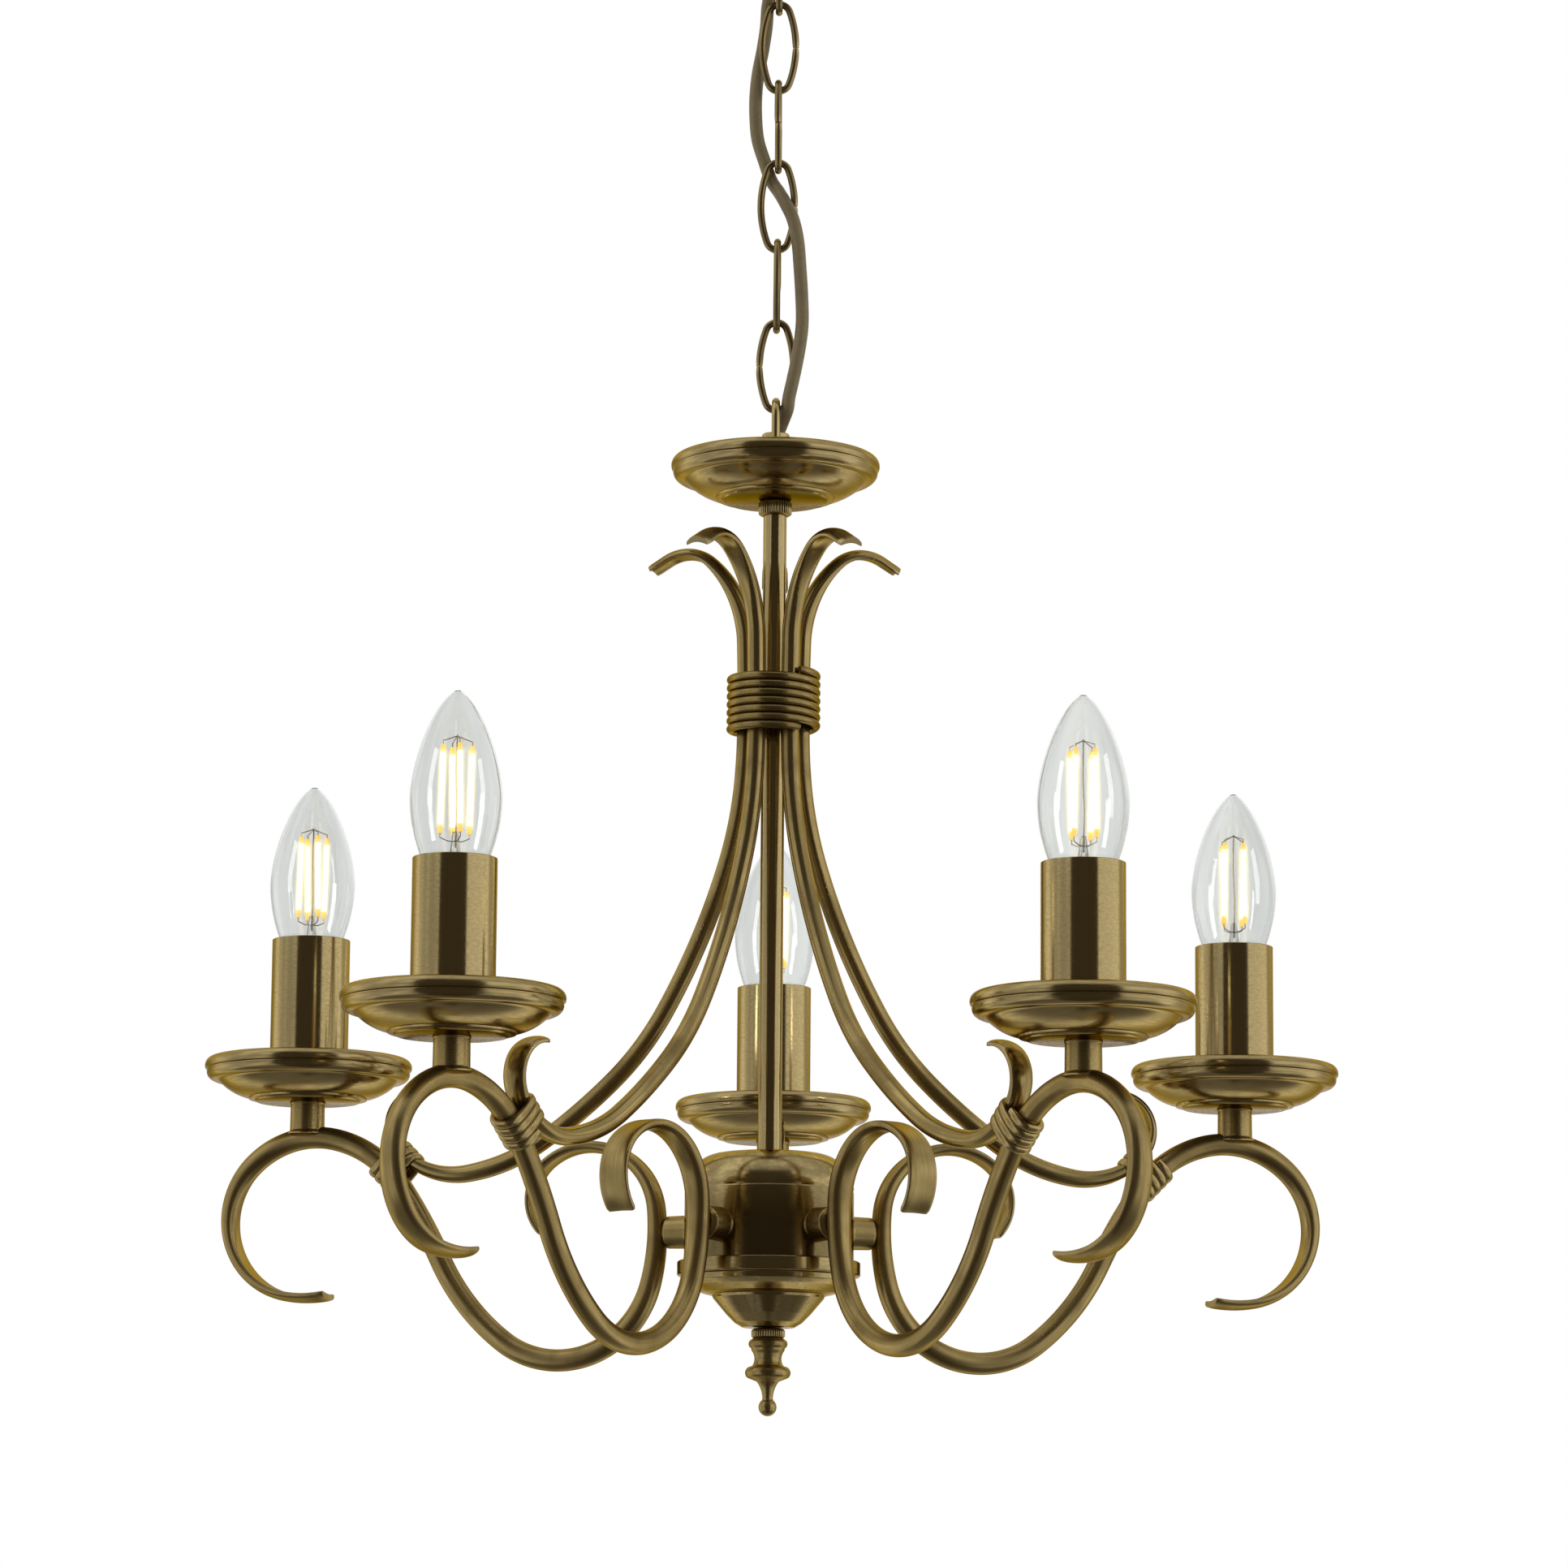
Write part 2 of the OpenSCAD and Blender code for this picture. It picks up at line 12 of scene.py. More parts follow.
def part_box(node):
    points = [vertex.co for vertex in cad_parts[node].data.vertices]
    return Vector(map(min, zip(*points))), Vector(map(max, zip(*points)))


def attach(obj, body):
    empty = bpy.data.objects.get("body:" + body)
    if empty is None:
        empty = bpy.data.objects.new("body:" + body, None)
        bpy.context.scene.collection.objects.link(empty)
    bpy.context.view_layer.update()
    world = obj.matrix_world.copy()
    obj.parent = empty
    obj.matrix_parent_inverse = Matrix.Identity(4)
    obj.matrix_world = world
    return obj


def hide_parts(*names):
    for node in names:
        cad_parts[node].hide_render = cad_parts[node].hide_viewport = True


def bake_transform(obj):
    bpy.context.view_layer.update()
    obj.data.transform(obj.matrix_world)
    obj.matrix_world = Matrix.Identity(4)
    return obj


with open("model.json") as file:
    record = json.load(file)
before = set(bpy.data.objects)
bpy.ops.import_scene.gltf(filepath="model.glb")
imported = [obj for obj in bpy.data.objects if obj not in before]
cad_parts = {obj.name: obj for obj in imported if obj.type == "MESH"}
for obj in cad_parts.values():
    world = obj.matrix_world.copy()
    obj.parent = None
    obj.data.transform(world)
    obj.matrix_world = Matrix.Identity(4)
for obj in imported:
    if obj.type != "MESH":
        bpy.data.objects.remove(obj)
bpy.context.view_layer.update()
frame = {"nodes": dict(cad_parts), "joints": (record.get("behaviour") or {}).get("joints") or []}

MM = 0.001

# ---------------------------------------------------------------- camera

CAMERA_AT = Vector((0.0161, -2.3124, -0.790))
LENS = 132.8
PITCH, YAW, ROLL = 0.1676, -0.00500, 0.0082


def make_camera():
    """The camera fitted to the lamps, pans, bowl and finial of the photographed lamp."""
    ahead = Vector((math.sin(YAW) * math.cos(PITCH), math.cos(YAW) * math.cos(PITCH), math.sin(PITCH)))
    level = Vector((math.cos(YAW), -math.sin(YAW), 0))
    upright = level.cross(ahead)
    right = math.cos(ROLL) * level + math.sin(ROLL) * upright
    up = -math.sin(ROLL) * level + math.cos(ROLL) * upright
    data = bpy.data.cameras.new("camera")
    data.lens = LENS
    data.sensor_width = 36
    data.clip_end = 60
    camera = bpy.data.objects.new("camera", data)
    bpy.context.scene.collection.objects.link(camera)
    turned = Matrix((right, up, -ahead)).transposed().to_4x4()
    camera.matrix_world = Matrix.Translation(CAMERA_AT) @ turned
    bpy.context.scene.camera = camera


make_camera()

# ---------------------------------------------------------------- node helpers


class Nodes:
    """Short names for building a node tree."""

    def __init__(self, tree):
        self.tree = tree

    def add(self, kind, inputs=None, **settings):
        node = self.tree.nodes.new(kind)
        for name, value in settings.items():
            setattr(node, name, value)
        for name, value in (inputs or {}).items():
            if isinstance(value, bpy.types.NodeSocket):
                self.tree.links.new(value, node.inputs[name])
            else:
                node.inputs[name].default_value = value
        return node

    def math(self, operation, a, b=0.0, clamp=False):
        return self.add("ShaderNodeMath", {0: a, 1: b}, operation=operation, use_clamp=clamp).outputs[0]

    def span(self, value, low, high, to_low=0.0, to_high=1.0):
        inputs = {"Value": value, "From Min": low, "From Max": high, "To Min": to_low, "To Max": to_high}
        return self.add("ShaderNodeMapRange", inputs, interpolation_type="SMOOTHSTEP").outputs["Result"]

    def mix(self, factor, a, b, blend="MIX"):
        node = self.tree.nodes.new("ShaderNodeMix")
        node.data_type = "RGBA"
        node.blend_type = blend
        sockets = {s.identifier: s for s in node.inputs}
        for key, value in (("Factor_Float", factor), ("A_Color", a), ("B_Color", b)):
            if isinstance(value, bpy.types.NodeSocket):
                self.tree.links.new(value, sockets[key])
            else:
                sockets[key].default_value = value
        return next(s for s in node.outputs if s.identifier == "Result_Color")

    def noise(self, vector, scale, detail=3.0, rough=0.55):
        inputs = {"Vector": vector, "Scale": scale, "Detail": detail, "Roughness": rough}
        return self.add("ShaderNodeTexNoise", inputs).outputs["Fac"]


def new_material(name):
    material = bpy.data.materials.new(name)
    material.use_nodes = True
    return material, Nodes(material.node_tree), material.node_tree.nodes["Principled BSDF"]


def rgb(*values):
    return (*values, 1.0)


BRASS = rgb(0.530, 0.408, 0.188)
BRASS_DEEP = rgb(0.470, 0.348, 0.142)
BRASS_DARK = rgb(0.190, 0.128, 0.050)
BRASS_PALE = rgb(0.64, 0.52, 0.29)
BRASS_EDGE = rgb(0.50, 0.38, 0.20)


def turned_vector(n, around, along):
    """A texture place that runs round an upright axis: long streaks of grain across it."""
    place = n.add("ShaderNodeTexCoord").outputs["Object"]
    flat = n.add("ShaderNodeVectorMath", {0: place, 1: (1, 1, 0)}, operation="MULTIPLY").outputs[0]
    radius = n.add("ShaderNodeVectorMath", {0: flat}, operation="LENGTH").outputs["Value"]
    way = n.add("ShaderNodeVectorMath", {0: flat}, operation="NORMALIZE").outputs[0]
    ring = n.add("ShaderNodeVectorMath", {0: way, 1: (around, around, 0)}, operation="MULTIPLY").outputs[0]
    height = n.add("ShaderNodeSeparateXYZ", {0: place}).outputs["Z"]
    level = n.math("MULTIPLY", n.math("ADD", height, n.math("MULTIPLY", radius, 0.8)), along)
    lift = n.add("ShaderNodeCombineXYZ", {"Z": level}).outputs[0]
    return n.add("ShaderNodeVectorMath", {0: ring, 1: lift}, operation="ADD").outputs[0]


def brass(name, colour=BRASS, dark=BRASS_DARK, rough=(0.16, 0.30), grain="turned", around=3.0, along=2600.0,
          patina=0.35, streaks=0.22, bump=0.10, brushed=0.0):
    """Antique brass with brushed grain, darker patches, darker creases and rubbed edges."""
    material, n, shader = new_material(name)
    place = n.add("ShaderNodeTexCoord").outputs["Object"]
    if grain == "turned":
        fine = n.noise(turned_vector(n, around, along), 1.0, 4.0, 0.6)
    else:
        drawn = n.add("ShaderNodeVectorMath", {0: place, 1: (55, 900, 55)}, operation="MULTIPLY").outputs[0]
        fine = n.noise(drawn, 1.0, 3.0, 0.55)
    patches = n.noise(place, 34.0, 4.0, 0.6)
    specks = n.noise(place, 260.0, 2.0, 0.5)
    crease = n.add("ShaderNodeNewGeometry").outputs["Pointiness"]
    worn = n.span(crease, 0.508, 0.56, 0.0, 0.55)
    deep = n.span(crease, 0.495, 0.43, 0.0, 0.65)
    streak = n.span(fine, 0.36, 0.66, 0.0, streaks)
    cloud = n.math("MULTIPLY", n.span(patches, 0.46, 0.72), patina)
    tint = n.mix(streak, colour, tuple(c * 0.55 for c in colour[:3]) + (1.0,))
    tint = n.mix(cloud, tint, dark)
    tint = n.mix(n.span(specks, 0.68, 0.80, 0.0, 0.22), tint, dark)
    tint = n.mix(worn, tint, BRASS_PALE)
    tint = n.mix(deep, tint, tuple(c * 0.5 for c in dark[:3]) + (1.0,))
    gloss = n.math("ADD", n.span(fine, 0.3, 0.7, *rough), n.math("MULTIPLY", cloud, 0.18))
    height = n.math("ADD", fine, n.math("MULTIPLY", specks, 0.1))
    relief = n.add("ShaderNodeBump", {"Strength": bump, "Distance": 0.0002, "Height": height})
    links = material.node_tree.links
    links.new(tint, shader.inputs["Base Color"])
    links.new(gloss, shader.inputs["Roughness"])
    links.new(relief.outputs[0], shader.inputs["Normal"])
    shader.inputs["Metallic"].default_value = 1.0
    shader.inputs["Specular Tint"].default_value = BRASS_EDGE
    shader.inputs["Anisotropic"].default_value = brushed
    if brushed:
        shader.inputs["Anisotropic Rotation"].default_value = 0.25
        tangent = n.add("ShaderNodeTangent", direction_type="RADIAL", axis="Z")
        links.new(tangent.outputs[0], shader.inputs["Tangent"])
    return material


def plain_surface(name, colour, rough, metal=0.0, scale=300.0, bump=0.08, shade=0.8):
    """A quieter surface for holders, caps, cables and steel: mottled colour, uneven gloss, fine relief."""
    material, n, shader = new_material(name)
    place = n.add("ShaderNodeTexCoord").outputs["Object"]
    fine = n.noise(place, scale, 4.0, 0.6)
    broad = n.noise(place, 45.0, 3.0, 0.5)
    darker = tuple(c * shade for c in colour[:3]) + (1.0,)
    tint = n.mix(n.span(broad, 0.4, 0.7), colour, darker)
    tint = n.mix(n.span(fine, 0.45, 0.7, 0.0, 0.5), tint, darker)
    links = material.node_tree.links
    links.new(tint, shader.inputs["Base Color"])
    links.new(n.span(fine, 0.3, 0.7, rough - 0.05, rough + 0.08), shader.inputs["Roughness"])
    relief = n.add("ShaderNodeBump", {"Strength": bump, "Distance": 0.0002, "Height": fine})
    links.new(relief.outputs[0], shader.inputs["Normal"])
    shader.inputs["Metallic"].default_value = metal
    return material


def clear_glass(name, tint):
    material, n, shader = new_material(name)
    place = n.add("ShaderNodeTexCoord").outputs["Object"]
    waves = n.noise(place, 30.0, 1.0, 0.4)
    relief = n.add("ShaderNodeBump", {"Strength": 0.008, "Distance": 0.0005, "Height": waves})
    material.node_tree.links.new(relief.outputs[0], shader.inputs["Normal"])
    shader.inputs["Base Color"].default_value = tint
    shader.inputs["Roughness"].default_value = 0.0
    shader.inputs["IOR"].default_value = 1.46
    shader.inputs["Transmission Weight"].default_value = 1.0
    return material


def glowing(name, core, rim, strength):
    """A lit filament: white where it faces out, warmer at its edges, a little uneven along its length."""
    material, n, shader = new_material(name)
    facing = n.add("ShaderNodeLayerWeight", {"Blend": 0.5}).outputs["Facing"]
    place = n.add("ShaderNodeTexCoord").outputs["Object"]
    beads = n.noise(place, 700.0, 1.0, 0.4)
    tint = n.mix(n.span(facing, 0.35, 0.85), core, rim)
    material.node_tree.links.new(tint, shader.inputs["Emission Color"])
    shader.inputs["Emission Strength"].default_value = strength
    surface = n.mix(beads, rim, core)
    material.node_tree.links.new(surface, shader.inputs["Base Color"])
    shader.inputs["Roughness"].default_value = 0.5
    return material


def halo(name, colour, most):
    """The warm glow round a lit filament: densest in the middle and clear at its edges."""
    material, n, shader = new_material(name)
    facing = n.add("ShaderNodeLayerWeight", {"Blend": 0.5}).outputs["Facing"]
    place = n.add("ShaderNodeTexCoord").outputs["Object"]
    cloud = n.span(n.noise(place, 120.0, 1.0, 0.4), 0.2, 0.8, most * 0.85, most)
    density = n.math("MULTIPLY", n.span(facing, 0.95, 0.10), cloud)
    material.node_tree.links.new(density, shader.inputs["Alpha"])
    shader.inputs["Base Color"].default_value = colour
    shader.inputs["Emission Color"].default_value = colour
    shader.inputs["Emission Strength"].default_value = 1.0
    shader.inputs["Roughness"].default_value = 1.0
    return material


MAT = {
    "sleeve": brass("brass_sleeve", around=9.0, along=1500.0, patina=0.10, streaks=0.34, rough=(0.10, 0.20),
                    bump=0.05, brushed=0.35),
    "pan": brass("brass_pan", around=6.0, along=1100.0, patina=0.22, streaks=0.24, rough=(0.14, 0.26),
                 bump=0.06, brushed=0.3),
    "body": brass("brass_body", around=12.0, along=1100.0, patina=0.22, streaks=0.42, rough=(0.12, 0.24),
                  bump=0.07, brushed=0.4),
    "arm": brass("brass_arm", BRASS_DEEP, grain="cast", patina=0.55, streaks=0.30, rough=(0.26, 0.36),
                 bump=0.02),
    "stay": brass("brass_stay", BRASS_DEEP, grain="cast", patina=0.60, streaks=0.36, rough=(0.18, 0.28),
                  bump=0.02),
    "wire": brass("brass_wire", BRASS_DEEP, grain="cast", patina=0.50, streaks=0.20, rough=(0.20, 0.30),
                  bump=0.02),
    "turned": brass("brass_turned", BRASS_DEEP, around=6.0, along=1800.0, patina=0.3, streaks=0.2,
                    rough=(0.22, 0.34), bump=0.04),
    "chain": brass("bronze_chain", colour=rgb(0.30, 0.22, 0.10), dark=rgb(0.09, 0.062, 0.03), grain="cast",
                   patina=0.7, streaks=0.2, rough=(0.22, 0.36), bump=0.04),
    "bow": brass("brass_bow", colour=rgb(0.60, 0.47, 0.22), grain="cast", patina=0.15, rough=(0.14, 0.26)),
    "cable": plain_surface("cable_cover", rgb(0.155, 0.118, 0.060), 0.42, metal=0.35, scale=500.0),
    "steel": plain_surface("plated_steel", rgb(0.62, 0.62, 0.60), 0.30, metal=1.0, scale=600.0),
    "grip": plain_surface("grip_plastic", rgb(0.13, 0.10, 0.06), 0.45),
    "holder": plain_surface("holder_body", rgb(0.80, 0.78, 0.72), 0.30, shade=0.93),
    "cap": plain_surface("cap_metal", rgb(0.72, 0.71, 0.68), 0.28, metal=1.0, scale=700.0),
    "glass": clear_glass("clear_glass", rgb(0.885, 0.899, 0.892)),
    "stem_glass": clear_glass("mount_glass", rgb(0.90, 0.91, 0.90)),
    "lead": plain_surface("lead_wire", rgb(0.48, 0.40, 0.30), 0.35, metal=1.0, scale=900.0),
    "lit": glowing("lit_filament", rgb(1.0, 0.97, 0.86), rgb(1.0, 0.84, 0.46), 1.5),
    "halo": halo("filament_glow", rgb(1.0, 0.84, 0.42), 0.22),
    "amber": glowing("filament_end", rgb(1.0, 0.66, 0.16), rgb(0.75, 0.42, 0.08), 0.9),
}

# ---------------------------------------------------------------- mesh helpers


def make_piece(name, points, faces, material, body, node=None, at=(0, 0, 0), turn=0.0, sharp=40.0,
               slot="antique_brass"):
    """A mesh piece from points in mm. It rides on a body, and stands for the CAD node or nodes named."""
    mesh = bpy.data.meshes.new(name)
    mesh.from_pydata([Vector(p) * MM for p in points], [], faces)
    mesh.validate()
    for polygon in mesh.polygons:
        polygon.use_smooth = True
    mesh.set_sharp_from_angle(angle=math.radians(sharp))
    mesh.materials.append(MAT[material])
    piece = bpy.data.objects.new(name, mesh)
    piece.location = Vector(at) * MM
    piece.rotation_euler = (0, 0, math.radians(turn))
    bpy.context.scene.collection.objects.link(piece)
    if body:
        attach(piece, body)
    for n in ([node] if isinstance(node, str) else node or []):
        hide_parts(n)
    return piece


def circle(steps):
    """Points (x, y) evenly round a circle of radius 1."""
    return [(math.cos(math.tau * j / steps), math.sin(math.tau * j / steps)) for j in range(steps)]


def joined(parts):
    """Several (points, faces) as one."""
    points, faces = [], []
    for p, f in parts:
        start = len(points)
        points += p
        faces += [[i + start for i in face] for face in f]
    return points, faces


def placed(part, matrix):
    """A part (points, faces) moved by a matrix."""
    points, faces = part
    return [tuple(matrix @ Vector(p)) for p in points], faces


def skin(rings, closed=False):
    """A skin over rings of points, capped at both ends unless the last ring meets the first."""
    count, size = len(rings), len(rings[0])
    points = [tuple(p) for ring in rings for p in ring]
    faces = []
    for i in range(count if closed else count - 1):
        a, b = i * size, (i + 1) % count * size
        faces += [(a + j, a + (j + 1) % size, b + (j + 1) % size, b + j) for j in range(size)]
    if not closed:
        faces += [tuple(range(size - 1, -1, -1)), tuple((count - 1) * size + j for j in range(size))]
    return points, faces


def turned(profile, steps=96):
    """A closed outline of (radius, height) turned round the Z axis."""
    points, rings, faces = [], [], []
    for radius, height in profile:
        if radius < 1e-6:
            rings.append([len(points)])
            points.append((0, 0, height))
        else:
            rings.append(range(len(points), len(points) + steps))
            points += [(radius * x, radius * y, height) for x, y in circle(steps)]
    for i, a in enumerate(rings):
        b = rings[(i + 1) % len(rings)]
        if len(a) == 1 and len(b) == 1:
            continue
        for j in range(steps):
            k = (j + 1) % steps
            if len(a) == 1:
                faces.append((a[0], b[k], b[j]))
            elif len(b) == 1:
                faces.append((a[j], a[k], b[0]))
            else:
                faces.append((a[j], a[k], b[k], b[j]))
    return points, faces


def arc(centre, radius, first, last, steps):
    """Points along an arc between two angles in degrees."""
    return [(centre[0] + radius * math.cos(math.radians(first + (last - first) * i / steps)),
             centre[1] + radius * math.sin(math.radians(first + (last - first) * i / steps)))
            for i in range(steps + 1)]


def rounded(corners, steps=4):
    """A closed outline with rounded corners; each corner is (radius from the axis, height, rounding)."""
    out = []
    for i, corner in enumerate(corners):
        here = Vector(corner[:2])
        round_by = corner[2] if len(corner) > 2 else 0.0
        before = Vector(corners[i - 1][:2]) - here
        after = Vector(corners[(i + 1) % len(corners)][:2]) - here
        if round_by <= 0 or before.length < 1e-6 or after.length < 1e-6:
            out.append(tuple(here))
            continue
        half = before.angle(after) / 2
        reach = min(round_by / math.tan(half), before.length * 0.49, after.length * 0.49)
        a, b = here + before.normalized() * reach, here + after.normalized() * reach
        for s in range(steps + 1):
            t = s / steps
            out.append(tuple((1 - t) ** 2 * a + 2 * t * (1 - t) * here + t * t * b))
    return out


def tube_rings(path, radius, sides, up=Vector((0, 1, 0))):
    """Rings of a round tube along a path; every ring is square to it."""
    rings = []
    for i, p in enumerate(path):
        way = (path[min(len(path) - 1, i + 1)] - path[max(0, i - 1)]).normalized()
        u = up.cross(way).normalized()
        v = way.cross(u)
        rings.append([p + radius * (x * u + y * v) for x, y in circle(sides)])
    return rings


def ease(t):
    """0 to 1 with a smooth start and end."""
    t = min(1.0, max(0.0, t))
    return t * t * (3 - 2 * t)


def rounded_wave(value, power):
    """A sine or cosine made fuller, for a rounded rectangle instead of an ellipse."""
    return math.copysign(abs(value) ** power, value)


def mix(a, b, t):
    return a + (b - a) * t


def bend_step(state, bend, share):
    """Where a share of one bend (arc length, turn) leads from a state (radius, height, heading)."""
    radius, height, heading = state
    half = bend[1] * share / 2
    length = bend[0] * share
    chord = length if abs(half) < 0.01 else length * math.sin(math.radians(half)) / math.radians(half)
    way = math.radians(heading + half)
    return radius + chord * math.cos(way), height + chord * math.sin(way), heading + 2 * half


def walk(start, bends, gap, turn):
    """Points (radius, height, heading, length so far) along a row of bends, each (arc length, turn)."""
    out, state, so_far = [], start, 0.0
    for bend in bends:
        steps = math.ceil(max(bend[0] / gap, abs(bend[1]) / turn))
        out += [(*bend_step(state, bend, i / steps), so_far + bend[0] * i / steps) for i in range(steps)]
        state = bend_step(state, bend, 1)
        so_far += bend[0]
    return out + [(*state, so_far)]


# ---------------------------------------------------------------- the cable, first

# the route of part.scad, in metres
FLEX_POINTS = [
    (0.0135, 0, -0.012), (0.0135, 0, -0.024), (0.013, 0, -0.033), (0.0106, 0, -0.0405),
    (0.0062, 0, -0.047), (0.0012, 0.0006, -0.054), (-0.0028, 0.0025, -0.062),
    (-0.0048, 0.0042, -0.070), (-0.0054, 0.0049, -0.079), (-0.0068, 0.0052, -0.089),
    (-0.0086, 0.005, -0.099), (-0.0095, 0.0046, -0.109), (-0.0094, 0.0044, -0.119),
    (-0.0084, 0.0046, -0.128), (-0.0056, 0.0048, -0.137), (-0.0028, 0.0044, -0.145),
    (0.0006, 0.0014, -0.151), (0.0034, -0.0028, -0.157), (0.0064, -0.0047, -0.164),
    (0.0084, -0.0044, -0.173), (0.0094, -0.0034, -0.184), (0.0102, -0.0034, -0.196),
    (0.0105, -0.004, -0.207), (0.0097, -0.0048, -0.216), (0.0082, -0.0049, -0.225),
    (0.0068, -0.0049, -0.232), (0.0053, -0.0045, -0.239), (0.0046, -0.0038, -0.244),
    (0.0024, -0.0014, -0.2495), (0.0005, -0.0002, -0.2545), (0.0001, 0, -0.260),
    (0, 0, -0.268), (0, 0, -0.285),
]
FLEX_CUTS = [0, 4, 8, 11.5, 15.5, 19.5, 23, 28, 32]
FLEX_D = 0.0054
FLEX_FINE = 6
CHAIN_BODIES = ["ceiling"] + ["chain_%d" % i for i in range(6)] + ["bow", "chandelier"]
PIVOTS = [next(j["pos_m"][2] for j in frame["joints"] if j["child"] == body) for body in CHAIN_BODIES[1:]]
# each visible length spans one pivot; it starts and ends at the pivot named, or else at a cut
CABLE_LENGTHS = [(0, None, 1), (2, 1, 3), (4, 3, 5), (6, 5, None), (7, None, None)]
# past a pivot the end of a length is rounded off inside its neighbour: (points past it, share of the radius)
ROUNDED_END = [(0.07, 0.93), (0.13, 0.74)]


def spline(points, at):
    """The smooth curve through the points, at a place counted in points."""
    last = len(points) - 1
    i = min(last - 1, int(at))
    t = at - i
    a, b, c, d = (Vector(points[min(last, max(0, k))]) for k in (i - 1, i, i + 1, i + 2))
    square = (2 * a - 5 * b + 4 * c - d) * t * t
    cube = (3 * b - a - 3 * c + d) * t ** 3
    return 0.5 * (2 * b + (c - a) * t + square + cube)


def place_at_height(height):
    """The place on the falling route, counted in points, that lies at a height."""
    low, high = 0.0, len(FLEX_POINTS) - 1.0
    for _ in range(40):
        middle = (low + high) / 2
        low, high = (middle, high) if spline(FLEX_POINTS, middle).z > height else (low, middle)
    return low


def cable_length(k, top, bottom):
    """One length: its mesh, its path and the two heights between which it bends."""
    first = FLEX_CUTS[k] if top is None else place_at_height(PIVOTS[top])
    last = FLEX_CUTS[k + 1] if bottom is None else place_at_height(PIVOTS[bottom])
    steps = round((last - first) * FLEX_FINE)
    places = [(first + (last - first) * i / steps, 1.0) for i in range(steps + 1)]
    if top is not None:
        places = [(first - d, share) for d, share in reversed(ROUNDED_END)] + places
    if bottom is not None:
        places += [(last + d, share) for d, share in ROUNDED_END]
    path = [spline(FLEX_POINTS, at) for at, _ in places]
    before = spline(FLEX_POINTS, max(0, places[0][0] - 1 / FLEX_FINE))
    after = spline(FLEX_POINTS, min(len(FLEX_POINTS) - 1, places[-1][0] + 1 / FLEX_FINE))
    rings = tube_rings([before, *path, after], FLEX_D / 2, 20)[1:-1]
    shares = [share for _, share in places]
    rings = [[centre + (p - centre) * share for p in ring]
             for ring, centre, share in zip(rings, path, shares)]
    return skin([[p / MM for p in ring] for ring in rings]), path


def make_cable():
    """The cable's lengths from the ceiling down, each with its own route."""
    for k, top, bottom in CABLE_LENGTHS:
        (points, faces), path = cable_length(k, top, bottom)
        nodes = ["flex_%d" % i for i in range(k, (k if bottom is None else bottom) + 1)]
        piece = make_piece("cable_%d" % k, points, faces, "cable", None, nodes, slot="cable_cover")
        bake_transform(piece)


make_cable()

# ---------------------------------------------------------------- sizes taken from the frame, in mm


def box_mm(node):
    low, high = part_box(node)
    return low / MM, high / MM


LAMP_R = 201.0
ARM_COUNT = 5
ARM_ANGLES = [-90 - 36 - 72 * k for k in range(ARM_COUNT)]
PAN_R = (box_mm("top_bowl")[1].x - box_mm("top_bowl")[0].x) / 2
BOWL_TOP = box_mm("top_bowl")[1].z
PAN_TOP = box_mm("pans")[1].z
PAN_H = 18.0
SHEET = 0.9
SLEEVE_BOTTOM, SLEEVE_TOP = box_mm("sleeves")[0].z, box_mm("sleeves")[1].z
SLEEVE_R = 16.1
BODY_BOTTOM, BODY_TOP = box_mm("body_cup")[0].z, box_mm("body_cup")[1].z
BODY_R = (box_mm("body_cup")[1].x - box_mm("body_cup")[0].x) / 2
COVER_R = (box_mm("bottom_cover")[1].x - box_mm("bottom_cover")[0].x) / 2
COLUMN_R = (box_mm("column")[1].x - box_mm("column")[0].x) / 2
COLUMN_BOTTOM, COLUMN_TOP = box_mm("column")[0].z, box_mm("column")[1].z
CAP_BASE = box_mm("bulb_cap_1")[0].z
CAP_TOP = box_mm("bulb_cap_1")[1].z
GLASS_H = box_mm("bulb_glass_1")[1].z - box_mm("bulb_glass_1")[0].z


def lamp_place(k, height=0.0):
    angle = math.radians(ARM_ANGLES[k])
    return LAMP_R * math.cos(angle), LAMP_R * math.sin(angle), height


# ---------------------------------------------------------------- chain


LINK_L, LINK_W, LINK_WIRE_R, LINK_END_R = 40.0, 16.8, 1.45, 4.5
LINK_SPLIT = 0.5
LINK_TURNS = [90, 0, -90, 0, 90, 180]
CHAIN_TOP, LINK_PITCH = -35.5, 33.9


def link_path(gap):
    """One oval link in its own plane, from its split round to its split: (x, z, heading, length so far)."""
    a, b, end_r = LINK_L / 2 - LINK_WIRE_R, LINK_W / 2 - LINK_WIRE_R, LINK_END_R
    big = ((a - end_r) ** 2 + b * b - end_r ** 2) / (2 * (b - end_r))
    half = math.degrees(math.asin((a - end_r) / (big - end_r)))
    side = (big * math.radians(half), half)
    bow = (end_r * math.radians(180 - 2 * half), 180 - 2 * half)
    last = 1 - LINK_SPLIT / side[0]
    bends = [side, bow, (2 * side[0], 2 * side[1]), bow, (side[0] * last, side[1] * last)]
    return walk((b, 0, 90), bends, gap, 8)


